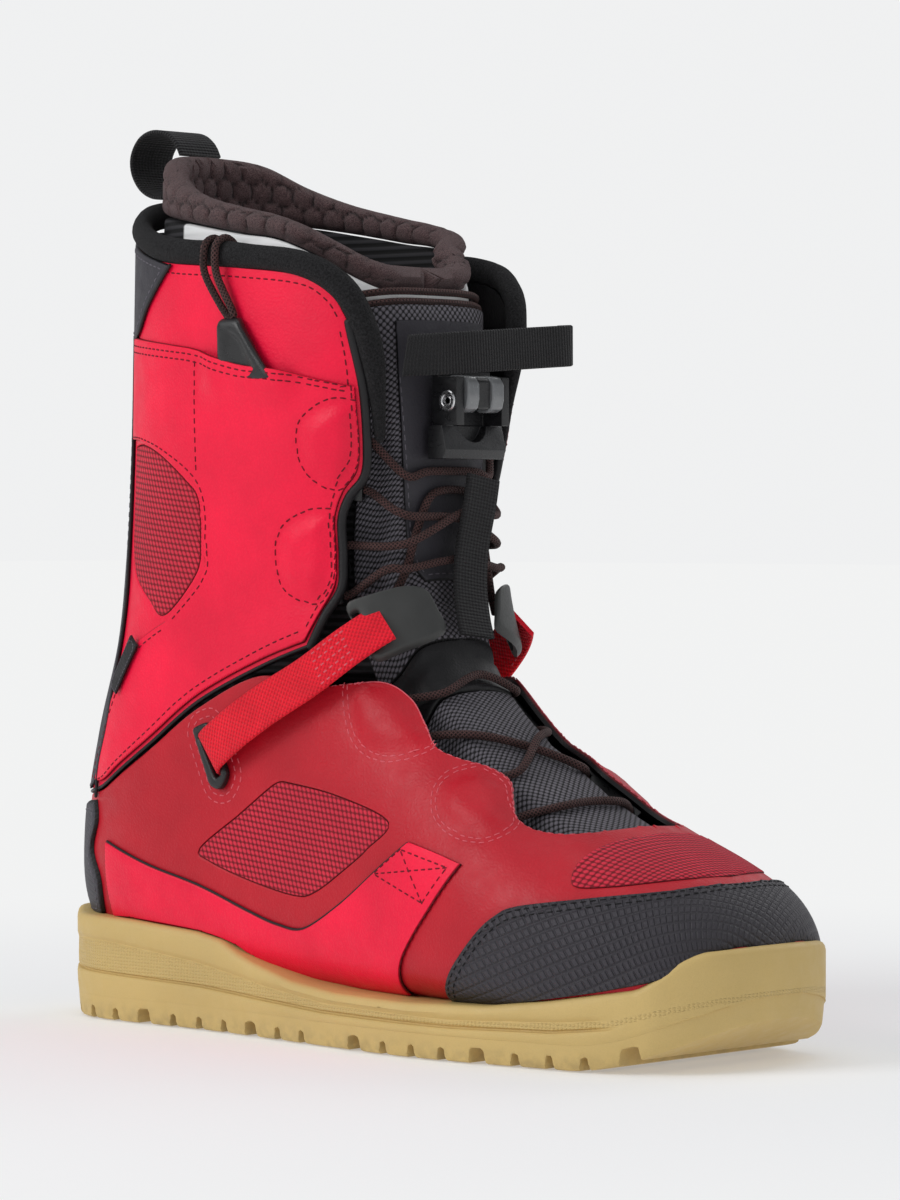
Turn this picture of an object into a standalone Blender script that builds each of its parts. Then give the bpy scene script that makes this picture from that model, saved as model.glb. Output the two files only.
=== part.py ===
"""Snowboard boot for the right foot: soft shell, removable liner, two lacing zones and an ankle strap.

+X points to the toe, -Y to the lateral side and +Z up. The origin is on the tread plane, under the waist.
Lengths below are millimetres. The upper is described by a last: a fan of cross sections, called stations,
from the toe to the top of the shaft. A turn is the angle round a section in degrees: 0 at the front or
top, -90 on the lateral side, 90 on the medial side and 180 at the back or bottom. A depth is the
distance under the outer face of the upper, and a negative depth stands proud of it.
"""

import math

import bmesh
import bpy
from mathutils import Matrix, Vector

MM = 0.001
GAP = 0.35

# top x, top z, bottom x, bottom z, half width lateral, half width medial,
# place of the widest point from the top, squareness of the front, squareness of the back
LAST = (
    (148, 32, 148, 20, 9, 9, 0.55, 2.0, 2.0),
    (143, 47, 145, 18, 26, 25, 0.60, 2.2, 2.4),
    (133, 57, 136, 16, 40, 38, 0.66, 2.3, 3.0),
    (117, 65, 118, 15, 49, 46, 0.70, 2.3, 3.4),
    (94, 74, 93, 15, 54, 50, 0.72, 2.4, 3.6),
    (71, 85, 64, 15, 55, 50, 0.72, 2.5, 3.6),
    (50, 99, 34, 15, 52, 47, 0.70, 2.6, 3.6),
    (33, 113, 2, 15, 48, 44, 0.66, 2.7, 3.5),
    (22, 127, -34, 15, 45, 42, 0.62, 2.8, 3.3),
    (17, 141, -74, 15, 43, 41, 0.58, 3.0, 3.2),
    (14, 155, -114, 17, 42, 41, 0.55, 3.2, 3.0),
    (13, 169, -140, 32, 42, 41, 0.53, 3.3, 2.6),
    (13, 182, -146, 58, 42, 41, 0.52, 3.4, 2.3),
    (14, 195, -140, 90, 43, 42, 0.51, 3.6, 2.2),
    (15, 208, -130, 122, 45, 44, 0.50, 3.7, 2.1),
    (16, 222, -124, 155, 47, 46, 0.50, 3.8, 2.1),
    (17, 237, -120, 190, 49, 48, 0.50, 3.8, 2.1),
    (16, 255, -118, 228, 50, 50, 0.50, 3.8, 2.1),
    (14, 275, -116, 268, 51, 51, 0.50, 3.8, 2.1),
    (12, 300, -115, 308, 51, 51, 0.50, 3.8, 2.1),
)
TOE_STATIONS = 3.0
TURN_STEP = 15

SHELL = 2.6
OVERLAY = 1.2
OVERLAY_GAP = 0.5
TONGUE = 3.2
LINER = 8.0
BOARD = 2.0
LACE = 2.8
WEBBING = 1.5

# the ankle axis that the cuff leans about
ANKLE_X = -40
ANKLE_Z = 120

# top edge of the gum cup round the upper, as x, z
RIM = (
    (-152, 37), (-135, 34.5), (-100, 35), (-68, 33), (-50, 29.5), (-41, 25.5), (-17, 20), (6, 18),
    (42, 17.5), (75, 18.5), (98, 21.5), (120, 25), (137, 29.5), (143, 36), (152, 38.5),
)
# half widths of the sole, as x, lateral, medial
SOLE_OUTLINE = (
    (-150, 4, 4), (-147, 16, 16), (-140, 26, 26), (-128, 35.5, 35.5), (-110, 40, 40), (-66, 42, 40),
    (-30, 47, 40), (0, 52, 43), (36, 57, 50), (66, 57, 53), (90, 54.5, 52), (112, 52, 48.5),
    (130, 45.5, 42.5), (137, 40, 38), (143, 32.5, 31.5), (147, 24.5, 24), (150, 14, 14), (151, 8, 8),
)
OUTSOLE = 8
TREAD_DEPTH = 4
TOE_SPRING = 12
TOE_SPRING_START = 105

# edge of the cuff in side view, as x, z, from the heel forward, up the flap and back along the collar
CUFF_HEM = (
    (-160, 76), (-128, 78), (-118, 80), (-106, 86), (-88, 96), (-65, 110.5), (-37, 122.5), (-16, 130),
)
FLAP_EDGE = (
    (-12, 140), (-6, 149), (-5, 159), (-5, 171), (-2, 179), (3, 186), (5, 197), (6, 212), (5.5, 224),
)
COLLAR_EDGE = (
    (4, 236), (-1, 245), (-12, 251.5), (-40, 255), (-74, 258), (-97, 264.5), (-112, 270), (-160, 272),
)
# edge of the lower shell in side view, as x, z, from the heel forward and round the throat
THROAT_EDGE = (
    (-160, 75), (-128, 77), (-118, 78.8), (-106, 84.6), (-88, 94.4), (-65, 108.6), (-37, 119.8),
    (-15, 116), (0, 118), (13, 119), (21, 113.5), (28, 106), (31, 100), (36, 97.5), (44, 95),
    (53, 92), (60, 88), (66, 82), (71, 76.5), (78, 73.5), (87, 72.3), (95, 73.8), (96, 95),
)

LATERAL = -1
MEDIAL = 1
SIDES = ((LATERAL, "lateral"), (MEDIAL, "medial"))


# --- the last ---------------------------------------------------------------------------------------

def last_row(station):
    """The last's measures at any station, by a Catmull-Rom spline through its rows."""
    station = min(max(station, 0.0), len(LAST) - 1.0)
    first = min(int(station), len(LAST) - 2)
    part = station - first
    rows = [LAST[min(max(first + step, 0), len(LAST) - 1)] for step in (-1, 0, 1, 2)]
    return [spline(part, *values) for values in zip(*rows)]


def spline(part, before, start, end, after):
    """Catmull-Rom value a part of the way from start to end."""
    return 0.5 * (
        2 * start
        + (end - before) * part
        + (2 * before - 5 * start + 4 * end - after) * part ** 2
        + (3 * start - before - 3 * end + after) * part ** 3
    )


def ramp(value, low, high):
    """Smooth step from 0 at low to 1 at high."""
    part = min(max((value - low) / (high - low), 0.0), 1.0)
    return part * part * (3 - 2 * part)


def wall(station, turn, depth=0.0):
    """Point of the upper's wall, in millimetres."""
    # Near the toe an inner layer also ends further back, by about its depth.
    station += 0.5 * max(depth, 0.0) ** 0.55 * max(0.0, 1 - station / TOE_STATIONS) * 0.85
    top_x, top_z, low_x, low_z, lateral, medial, widest, front, back = last_row(station)
    length = math.hypot(low_x - top_x, low_z - top_z)
    along = ((low_x - top_x) / length, (low_z - top_z) / length)
    angle = math.radians(turn)
    cosine, sine = math.cos(angle), math.sin(angle)
    power = 2 / (front if cosine > 0 else back)
    reach = (widest if cosine > 0 else 1 - widest) * length - depth
    half = (lateral if sine < 0 else medial) - depth
    run = widest * length - math.copysign(abs(cosine) ** power, cosine) * max(reach, 0.5)
    y = math.copysign(abs(sine) ** power, sine) * max(half, 0.5)
    return Vector((top_x + along[0] * run, y, top_z + along[1] * run))


def turn_at(x, z, side):
    """Station and turn of the point of the wall that side view shows at x, z."""
    low, high = 0.0, len(LAST) - 1.0
    for _ in range(40):
        middle = (low + high) / 2
        top_x, top_z, low_x, low_z = last_row(middle)[:4]
        ahead = (x - top_x) * (low_z - top_z) - (z - top_z) * (low_x - top_x)
        if ahead > 0:
            low = middle
        else:
            high = middle
    top_x, top_z, low_x, low_z, _, _, widest, front, back = last_row(low)
    length = math.hypot(low_x - top_x, low_z - top_z)
    run = ((x - top_x) * (low_x - top_x) + (z - top_z) * (low_z - top_z)) / length ** 2
    run = min(max(run, 0.0), 1.0)
    if run < widest:
        turn = math.degrees(math.acos(((widest - run) / widest) ** (front / 2)))
    else:
        turn = 180 - math.degrees(math.acos(((run - widest) / (1 - widest)) ** (back / 2)))
    return low, side * turn


def on_side(x, z, side, depth=0.0):
    """Point of the wall at x, z in side view."""
    station, turn = turn_at(x, z, side)
    return wall(station, turn, depth)


def tongue_depth(station, turn):
    """Outer face of the tongue: crowned in the middle, sunk under the flaps, deeper towards the top."""
    sunk = 5.2 + 6.0 * ramp(station, 12, 17)
    shoulder = 5.6 * ramp(abs(turn), 18, 34) * (1 - ramp(station, 13.5, 16.5))
    return sunk + shoulder


def liner_depth(station, turn):
    """Outer face of the liner: behind the tongue in front, above the lasting board below."""
    side = SHELL + 0.6 + 5.5 * ramp(station, 15.5, 18.5)
    front = tongue_depth(station, turn) + TONGUE + 0.9
    board = (BOARD + 0.6) * ramp(abs(turn), 112, 134) * (1 - ramp(station, 9.5, 11))
    toe = 0.8 * (1 - ramp(station, 0, 2))
    in_front = 1 - ramp(abs(turn), 56, 76)
    return side + board + toe + max(front - side, 0.0) * in_front


# --- modelling helpers ------------------------------------------------------------------------------

def clear_scene():
    for thing in list(bpy.data.objects):
        bpy.data.objects.remove(thing)


def collection(name):
    made = bpy.data.collections.new(name)
    bpy.context.scene.collection.children.link(made)
    return made


def material(name, colour, roughness, metallic=0.0):
    made = bpy.data.materials.new(name)
    made.use_nodes = True
    shader = made.node_tree.nodes["Principled BSDF"]
    shader.inputs["Base Color"].default_value = (*colour, 1.0)
    shader.inputs["Roughness"].default_value = roughness
    shader.inputs["Metallic"].default_value = metallic
    return made


def place(name, mesh, finish=None):
    """Puts a mesh into the boot, or among the cutters when it has no finish."""
    made = bpy.data.objects.new(name, mesh)
    if finish is None:
        made.hide_render = True
        made.display_type = "WIRE"
        bpy.data.collections["cutters"].objects.link(made)
    else:
        made.data.materials.append(FINISHES[finish])
        bpy.data.collections["snowboard_boot"].objects.link(made)
    return made


def finished(bm, name, finish=None):
    """Object of a bmesh that is drawn in millimetres."""
    bmesh.ops.scale(bm, vec=(MM, MM, MM), verts=bm.verts)
    bmesh.ops.recalc_face_normals(bm, faces=bm.faces)
    mesh = bpy.data.meshes.new(name)
    bm.to_mesh(mesh)
    bm.free()
    mesh.shade_smooth()
    mesh.set_sharp_from_angle(angle=math.radians(40))
    return place(name, mesh, finish)


def boolean(body, cutter, operation="DIFFERENCE"):
    step = body.modifiers.new(cutter.name, "BOOLEAN")
    step.operation = operation
    step.object = cutter
    return body


def depth_at(depth, station, turn):
    return depth(station, turn) if callable(depth) else depth


def skin(name, finish, stations, outer, inner, turns=None):
    """Wall between two depths: a sleeve all round, or a panel over a range of turns.

    A sleeve that starts before station 1 is closed at the toe.
    """
    sleeve = turns is None
    steps = 360 // TURN_STEP if sleeve else math.ceil((turns[1] - turns[0]) / TURN_STEP)
    first, last = (0, 360) if sleeve else turns
    angles = [first + (last - first) * step / steps for step in range(steps + (not sleeve))]
    angles = [angle - 360 if angle > 180 else angle for angle in angles]
    bm = bmesh.new()
    layers = [
        [[bm.verts.new(wall(s, a, depth_at(depth, s, a))) for a in angles] for s in stations]
        for depth in (outer, inner)
    ]
    for layer in layers:
        for row, ahead in zip(layer, layer[1:]):
            for step in range(steps):
                beside = (step + 1) % len(angles)
                bm.faces.new((row[step], row[beside], ahead[beside], ahead[step]))
    closed_toe = sleeve and stations[0] < 1
    if closed_toe:
        for layer in layers:
            bm.faces.new(layer[0])
    for row in ((-1,) if closed_toe else (0, -1)):
        for step in range(steps):
            beside = (step + 1) % len(angles)
            outside, inside = layers[0][row], layers[1][row]
            bm.faces.new((outside[step], outside[beside], inside[beside], inside[step]))
    if not sleeve:
        for column in (0, -1):
            for row in range(len(stations) - 1):
                outside, inside = layers
                bm.faces.new((outside[row][column], outside[row + 1][column],
                              inside[row + 1][column], inside[row][column]))
    return finished(bm, name, finish)


def prism(name, outline, low_y=-90, high_y=90, finish=None):
    """Solid with the given outline in side view."""
    bm = bmesh.new()
    face = bm.faces.new([bm.verts.new((x, low_y, z)) for x, z in outline])
    pushed = bmesh.ops.extrude_face_region(bm, geom=[face])["geom"]
    corners = [item for item in pushed if isinstance(item, bmesh.types.BMVert)]
    bmesh.ops.translate(bm, vec=(0, high_y - low_y, 0), verts=corners)
    return finished(bm, name, finish)


def one_side(side):
    """Range of y on one side of the boot."""
    return (-90, -1) if side == LATERAL else (1, 90)


def side_turns(side):
    """Range of turns on one side of the boot."""
    return (-165, -15) if side == LATERAL else (15, 165)


def stations_between(first, last):
    """Both ends and the whole stations between them, so that the layers share one grid."""
    return [first, *range(math.floor(first) + 1, math.ceil(last)), last]


def patch(name, finish, outline, side=None, depth=-OVERLAY_GAP, thick=OVERLAY, stations=None, hole=None):
    """Layer on the wall with the given outline in side view, on one side or right round."""
    low, high = one_side(side) if side else (-90, 90)
    cutter = prism(name + "_outline", outline, low, high)
    if stations is None:
        found = [turn_at(x, z, LATERAL)[0] for x, z in outline]
        stations = (max(math.floor(min(found)) - 1, 0), min(math.ceil(max(found)) + 1, len(LAST) - 1))
    outer = (lambda s, a: depth_at(depth, s, a) - thick)
    turns = side_turns(side) if side else None
    made = skin(name, finish, stations_between(*stations), outer, depth, turns)
    boolean(made, cutter, "INTERSECT")
    if hole:
        boolean(made, prism(name + "_hole", hole, low, high))
    return made


def smooth_path(points, spacing, cyclic=False):
    """Points about one spacing apart on a Catmull-Rom curve through the given ones."""
    points = [Vector(point) for point in points]
    count = len(points)
    path = []
    for index in range(count if cyclic else count - 1):
        around = [index - 1, index, index + 1, index + 2]
        around = [i % count if cyclic else min(max(i, 0), count - 1) for i in around]
        before, start, end, after = (points[i] for i in around)
        steps = max(1, round((end - start).length / spacing))
        path += [spline(step / steps, before, start, end, after) for step in range(steps)]
    return path if cyclic else path + [points[-1]]


def tube(name, finish, points, radius, cyclic=False, sides=2):
    """Round tube along points in millimetres, as a closed mesh."""
    curve = bpy.data.curves.new(name + "_path", "CURVE")
    curve.dimensions = "3D"
    curve.bevel_depth = radius * MM
    curve.bevel_resolution = sides
    curve.use_fill_caps = True
    run = curve.splines.new("POLY")
    run.points.add(len(points) - 1)
    for point, target in zip(run.points, points):
        point.co = (*(Vector(target) * MM), 1.0)
    run.use_cyclic_u = cyclic
    guide = bpy.data.objects.new(name + "_path", curve)
    bpy.context.scene.collection.objects.link(guide)
    graph = bpy.context.evaluated_depsgraph_get()
    mesh = bpy.data.meshes.new_from_object(guide.evaluated_get(graph))
    bpy.data.objects.remove(guide)
    bm = bmesh.new()
    bm.from_mesh(mesh)
    bmesh.ops.remove_doubles(bm, verts=bm.verts, dist=1e-5)
    bmesh.ops.scale(bm, vec=(1 / MM, 1 / MM, 1 / MM), verts=bm.verts)
    bpy.data.meshes.remove(mesh)
    return finished(bm, name, finish)


def ribbon(name, finish, path, thick, low, high, axis="Y"):
    """Strip of webbing: a path in the plane across an axis, thickened, and pushed from low to high along it."""
    path = [Vector(point).to_3d() for point in path]
    half = thick / 2
    one, other = [], []
    for index, point in enumerate(path):
        ahead = (path[min(index + 1, len(path) - 1)] - path[max(index - 1, 0)]).normalized()
        side = Vector((-ahead.y, ahead.x, 0)) * half
        one.append(point + side)
        other.append(point - side)
    bm = bmesh.new()
    levels = []
    for level in (low, high):
        spot = (lambda p: (p.x, level, p.y)) if axis == "Y" else (lambda p: (p.x, p.y, level))
        levels.append([[bm.verts.new(spot(p)) for p in run] for run in (one, other)])
    (low_one, low_other), (high_one, high_other) = levels
    for index in range(len(path) - 1):
        after = index + 1
        bm.faces.new((low_one[index], low_one[after], low_other[after], low_other[index]))
        bm.faces.new((high_one[index], high_one[after], high_other[after], high_other[index]))
        bm.faces.new((low_one[index], low_one[after], high_one[after], high_one[index]))
        bm.faces.new((low_other[index], low_other[after], high_other[after], high_other[index]))
    for end in (0, -1):
        bm.faces.new((low_one[end], low_other[end], high_other[end], high_one[end]))
    return finished(bm, name, finish)


def box(name, finish, low, high):
    bm = bmesh.new()
    bmesh.ops.create_cube(bm, size=1)
    low, high = Vector(low), Vector(high)
    bmesh.ops.scale(bm, vec=high - low, verts=bm.verts)
    bmesh.ops.translate(bm, vec=(low + high) / 2, verts=bm.verts)
    return finished(bm, name, finish)


def rod(name, finish, start, end, radius, sides=16):
    """Cylinder from start to end."""
    start, end = Vector(start), Vector(end)
    bm = bmesh.new()
    bmesh.ops.create_cone(bm, cap_ends=True, segments=sides, radius1=radius, radius2=radius,
                          depth=(end - start).length)
    turn = Vector((0, 0, 1)).rotation_difference(end - start).to_matrix().to_4x4()
    bmesh.ops.transform(bm, matrix=Matrix.Translation((start + end) / 2) @ turn, verts=bm.verts)
    return finished(bm, name, finish)


def hang(piece, pivot):
    """Puts a piece's origin on its joint's axis."""
    shift = Vector(pivot) * MM
    piece.data.transform(Matrix.Translation(-shift))
    piece.location = shift


# --- sole -------------------------------------------------------------------------------------------

def read_off(table, x):
    """Values of a table at x, straight between its rows."""
    for row, after in zip(table, table[1:]):
        if row[0] <= x <= after[0]:
            part = (x - row[0]) / (after[0] - row[0])
            return [a + (b - a) * part for a, b in zip(row[1:], after[1:])]
    return list(table[0 if x < table[0][0] else -1][1:])


def tread_height(x):
    """Height of the tread above the ground: it rises under the toe."""
    return TOE_SPRING * max(0.0, (x - TOE_SPRING_START) / (151 - TOE_SPRING_START)) ** 2


def sole_block(name, finish, low, high, taper=0.0):
    """Slab with the sole's outline between two heights, which are functions of x."""
    bm = bmesh.new()
    rings = []
    places = sorted({row[0] for row in SOLE_OUTLINE} | {x for x, _ in RIM if abs(x) < 150})
    for x in places:
        lateral, medial = read_off(SOLE_OUTLINE, x)
        rings.append([
            bm.verts.new((x, y, z))
            for y, z in ((-lateral + taper, low(x)), (-lateral, high(x)), (medial, high(x)),
                         (medial - taper, low(x)))
        ])
    for ring, ahead in zip(rings, rings[1:]):
        for index in range(4):
            beside = (index + 1) % 4
            bm.faces.new((ring[index], ring[beside], ahead[beside], ahead[index]))
    bm.faces.new(rings[0])
    bm.faces.new(rings[-1])
    return finished(bm, name, finish)


def outsole():
    """Rubber tread: cross bars parted by narrow grooves, with a wider one after every fourth."""
    slab = sole_block("outsole", "gum", tread_height, lambda x: tread_height(x) + OUTSOLE, taper=1.5)
    x = -136
    index = 0
    while x < 138:
        wide = 7 if index % 4 == 3 else 3
        ground = tread_height(x)
        if abs(x) > 12:
            groove = box(f"tread_groove_{index}", None, (x, -80, ground - 6),
                         (x + wide, 80, ground + TREAD_DEPTH))
            boolean(slab, groove)
        x += wide + 9
        index += 1
    return slab


def midsole():
    """Gum cup that holds the upper, thick under the heel, with a bumper over the toe."""
    cup = sole_block("midsole", "gum", lambda x: tread_height(x) + OUTSOLE + GAP,
                     lambda x: read_off(RIM, x)[0])
    boolean(cup, upper_block())
    pocket = rod("heel_cushion_pocket", None, (-108, 0, 11), (-108, 0, 19), 24, 24)
    return boolean(cup, pocket)


def upper_block():
    """Solid of the whole upper, a little larger than it, that hollows the cup."""
    bm = bmesh.new()
    angles = [step * TURN_STEP for step in range(360 // TURN_STEP)]
    rows = [[bm.verts.new(wall(s, a, -0.4)) for a in angles] for s in stations_between(0, 14)]
    for row, ahead in zip(rows, rows[1:]):
        for step in range(len(angles)):
            beside = (step + 1) % len(angles)
            bm.faces.new((row[step], row[beside], ahead[beside], ahead[step]))
    bm.faces.new(rows[0])
    bm.faces.new(rows[-1])
    return finished(bm, "upper_block")


def heel_cushion():
    return rod("heel_cushion", "foam", (-108, 0, 11.4), (-108, 0, 14.2), 23, 24)


# --- shell ------------------------------------------------------------------------------------------

def lower_shell():
    shell = skin("lower_shell", "dark_red", stations_between(0, 14), 0, SHELL)
    outline = (*THROAT_EDGE, (175, 95), (175, -5), (-160, -5))
    return boolean(shell, prism("lower_shell_outline", outline), "INTERSECT")


def rim_run(low_x, high_x, above=0.9):
    """Points a little above the gum cup's edge, between two places along the boot."""
    between = [x for x, _ in RIM if low_x < x < high_x]
    return [(x, read_off(RIM, x)[0] + above) for x in (low_x, *between, high_x)]


def toe_cap():
    run = rim_run(52, 151)
    upper = [(152, 62), (138, 62), (134.5, 57), (132, 55.5), (111, 53.5), (86, 50), (78, 47), (71, 41)]
    return patch("toe_cap", "toe_grey", run + upper, stations=(0, 6))


def toe_vent():
    """Mesh let into the vamp in front of the throat."""
    turns = (-60, 60)
    made = skin("toe_vent", "red_mesh", stations_between(2.35, 3.75), -OVERLAY_GAP - 0.8, -OVERLAY_GAP, turns)
    outline = ((99, 58), (102, 66), (98, 90), (150, 90), (150, 60), (131, 57.5), (112, 56))
    return boolean(made, prism("toe_vent_outline", outline), "INTERSECT")


def rand(side, name):
    """Bright overlay from the heel to the ball, with a tab that climbs the side."""
    run = rim_run(-114, 30)
    upper = [(38, 31), (50, 48), (61, 62), (37, 68), (4, 46), (-13, 37.5), (-26, 38), (-66, 49), (-90, 54.5),
             (-114, 61)]
    return patch(f"rand_{name}", "bright_red", run + upper, side, stations=(4, 14))


def side_vent(side, name):
    outline = ((-24, 85), (0, 81.5), (25, 74), (18, 66), (6, 57.5), (-8, 49.5), (-18, 47.5), (-40, 51.5),
               (-60, 57), (-65, 61), (-46, 73), (-30, 84))
    return patch(f"side_vent_{name}", "red_mesh", outline, side, thick=0.8, stations=(5, 13))


def heel_counter():
    """Stiff cup behind the heel."""
    outline = ((-160, 36.5), (-140, 35.8), (-122, 36), (-121, 48), (-126, 58), (-121, 68), (-123, 75.5),
               (-160, 73.5))
    return patch("heel_counter", "heel_grey", outline, thick=1.8, stations=(9, 15))


def cuff_shell():
    shell = skin("cuff_shell", "bright_red", stations_between(9, 19), 0, SHELL)
    outline = (*CUFF_HEM, *FLAP_EDGE, *COLLAR_EDGE)
    return boolean(shell, prism("cuff_outline", outline), "INTERSECT")


def collar_path():
    """Middle of the padded roll along the flaps and round the collar."""
    run = ((10, 200), (10.5, 212), (10.2, 225), (8.5, 238), (2.5, 250), (-12, 256), (-40, 259), (-74, 262),
           (-97, 268.5), (-112, 275))
    lateral = [on_side(x, z, LATERAL, 0.9) for x, z in run]
    medial = [on_side(x, z, MEDIAL, 0.9) for x, z in reversed(run)]
    return smooth_path([*lateral, wall(18.22, 180, 0.9), *medial], 11)


def collar_roll():
    return tube("collar_roll", "fleece_black", collar_path(), 3.2)


def cuff_panel(side, name):
    """Outer panel of the cuff: the pocket's front on the lateral side, a plain panel on the medial side."""
    front = ((-10, 141), (-5, 150), (-6.5, 159), (-6.5, 171), (-3, 180), (1.5, 187), (3.5, 197), (4, 209))
    outline = (*front, (4, 213), (-16, 218.5), (-37, 222), (-57, 227.5), (-100, 234), (-100, 208), (-77, 194), (-60, 185), (-57, 178),
               (-60, 152), (-78, 138), (-84, 128), (-66, 112), (-38, 124), (-18, 131))
    notch = ((PULLER_X - 6.5, 216.5), (PULLER_X + 18, 216.5), (PULLER_X + 18, 240), (PULLER_X - 6.5, 240))
    hole = notch if side == LATERAL else None
    return patch(f"cuff_panel_{name}", "bright_red", outline, side, stations=(9, 18), hole=hole)


def rear_vent(side, name):
    outline = ((-104, 197), (-104, 157), (-89, 143), (-80, 141), (-64, 154), (-62, 177), (-66, 184), (-80, 192))
    return patch(f"rear_vent_{name}", "red_mesh", outline, side, thick=0.8, stations=(12, 18))


def back_stay():
    """Strip down the middle of the back, over the vents' rear edges."""
    outline = ((-160, 80), (-130, 81), (-124, 88), (-116, 104), (-111, 130), (-106, 156), (-106, 200),
               (-104, 234), (-104, 262), (-160, 266))
    return patch("back_stay", "warm_grey", outline, stations=(10, 19))


def back_tab():
    """Leather tab behind the cuff, sewn down at both ends."""
    path = ((-121.9, 219), (-124.5, 221), (-125.5, 226), (-125.2, 233), (-124, 239), (-120.6, 241.5))
    return ribbon("back_tab", "black_leather", path, 1.4, -8, 8)


def side_label():
    """Blank woven tab that stands out of the seam behind the ankle."""
    low, high = Vector((-111, 115)), Vector((-96, 131))
    across = Vector((low.y - high.y, high.x - low.x)).normalized() * 2.4
    outline = [low - across, high - across, high + across, low + across]
    return patch("side_label", "black_leather", [tuple(p) for p in outline], LATERAL, depth=-2.2, thick=1.2,
                 stations=(12, 16))


# --- tongue -----------------------------------------------------------------------------------------

def tongue_layer(name, finish, first, last, half_turn, above=0.0, thick=TONGUE):
    outer = (lambda s, a: tongue_depth(s, a) - above)
    inner = (lambda s, a: tongue_depth(s, a) - above + thick)
    return skin(name, finish, stations_between(first, last), outer, inner, (-half_turn, half_turn))


def tongue():
    tongue_layer("tongue_lower", "tongue_mesh", 3.6, 7.5, 45)
    tongue_layer("tongue_flex", "black_leather", 7.55, 8.65, 45)
    tongue_layer("tongue_upper", "tongue_mesh", 8.7, 16.5, 45)
    tongue_layer("tongue_overlay", "black_leather", 10, 16, 15, above=1.6, thick=1.1)
    path = [wall(16.65, a, tongue_depth(16.65, a) + 1.6) for a in range(-45, 46, 15)]
    tube("tongue_trim", "brown", smooth_path(path, 9), 1.9)


# --- liner ------------------------------------------------------------------------------------------

def liner_inner(station, turn):
    return liner_depth(station, turn) + LINER


LINER_TOP = ((-130, 299), (-106, 295), (-91, 287), (-71, 280.5), (-45, 275.5), (-24, 272), (0, 265), (20, 256))
LINER_COLLAR_LOW = (
    (-130, 275), (-106, 275), (-91, 273), (-71, 270.5), (-45, 267), (-24, 264.5), (0, 257), (20, 248),
)


def liner_foot():
    foot = skin("liner_foot", "liner_foam", stations_between(0, 14), liner_depth, liner_inner)
    outline = ((-160, 76), (-118, 79), (-88, 94.5), (-65, 108.5), (-45, 116), (-25, 112), (0, 103), (30, 96),
               (175, 96), (175, 0), (-160, 0))
    return boolean(foot, prism("liner_foot_outline", outline), "INTERSECT")


def liner_cuff():
    cuff = skin("liner_cuff", "liner_foam", stations_between(8, 19), liner_depth, liner_inner)
    top = [(x, z - GAP) for x, z in reversed(LINER_COLLAR_LOW)]
    outline = ((-160, 77.2), (-118, 80.2), (-88, 95.8), (-65, 109.8), (-42, 120), (-30, 122.5), (0, 130),
               (40, 138), *top)
    return boolean(cuff, prism("liner_cuff_outline", outline), "INTERSECT")


def liner_collar():
    band = skin("liner_collar", "fleece_brown", stations_between(16, 19), liner_depth, liner_inner)
    outline = (*LINER_COLLAR_LOW, *reversed(LINER_TOP))
    return boolean(band, prism("liner_collar_outline", outline), "INTERSECT")


def footbed():
    """Removable insole in the liner."""
    low = (lambda s, a: liner_inner(s, a) + 0.6)
    top = (lambda s, a: liner_inner(s, a) + 3.4)
    return skin("footbed", "foam", stations_between(2, 9), low, top, (135, 225))


def lasting_board():
    return skin("lasting_board", "board", stations_between(1, 9), SHELL + 0.4, SHELL + 0.4 + BOARD, (135, 225))


# --- lacing -----------------------------------------------------------------------------------------

# Guides, as x, z of the flap's edge at their top and at their foot.
UPPER_GUIDES = (((3.5, 200), (1, 184)), ((-7, 166), (-7, 150)))
LOWER_GUIDES = (((15, 114.5), (27, 103.5)), ((50, 91.5), (65, 80)))
GUIDE_DEPTH = 6.4
GUIDE_THICK = 5.4


def guide_frame(ends, side):
    """Middle of a guide, its direction along the flap and its direction away from the tongue."""
    top, foot = (on_side(x, z, side, GUIDE_DEPTH) for x, z in ends)
    middle = (top + foot) / 2
    along = (foot - top).normalized()
    rise = ends[0][1] - ends[1][1]
    run = ends[1][0] - ends[0][0]
    size = math.hypot(rise, run)
    behind = ((ends[0][0] + ends[1][0]) / 2 - 9 * rise / size, (ends[0][1] + ends[1][1]) / 2 - 9 * run / size)
    away = on_side(*behind, side, GUIDE_DEPTH) - middle
    away = (away - along * away.dot(along)).normalized()
    out = along.cross(away) * -side
    return middle, along, away, out, (foot - top).length / 2


def guide_arc(ends, side):
    """The lace's way through a guide, from its top to its foot."""
    middle, along, away, _, half = guide_frame(ends, side)
    points = []
    for angle in range(0, 181, 36):
        turn = math.radians(angle)
        points.append(middle - along * half * math.cos(turn) + away * half * 0.8 * math.sin(turn))
    return points


def lace_guide(name, ends, side, lace):
    """Moulded guide: a half disc with a channel that turns the lace round."""
    middle, along, away, out, half = guide_frame(ends, side)
    radius = half + 3.2
    bm = bmesh.new()
    rim = []
    for angle in range(0, 181, 30):
        turn = math.radians(angle)
        rim.append(middle - along * radius * math.cos(turn) + away * radius * 0.8 * math.sin(turn))
    rim += [middle + along * radius - away * 2.0, middle - along * radius - away * 2.0]
    face = bm.faces.new([bm.verts.new(p - out * GUIDE_THICK / 2) for p in rim])
    pushed = bmesh.ops.extrude_face_region(bm, geom=[face])["geom"]
    corners = [item for item in pushed if isinstance(item, bmesh.types.BMVert)]
    bmesh.ops.translate(bm, vec=out * GUIDE_THICK, verts=corners)
    body = finished(bm, name, "guide_plastic")
    channel = tube(name + "_channel", None, lace, LACE / 2 + 0.5, sides=1)
    return boolean(body, channel)


def over_tongue(station, turn, lift=0.0):
    """Middle of a lace that lies on the tongue, or that much higher."""
    return wall(station, turn, tongue_depth(station, turn) - 0.4 - LACE / 2 - lift)


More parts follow.
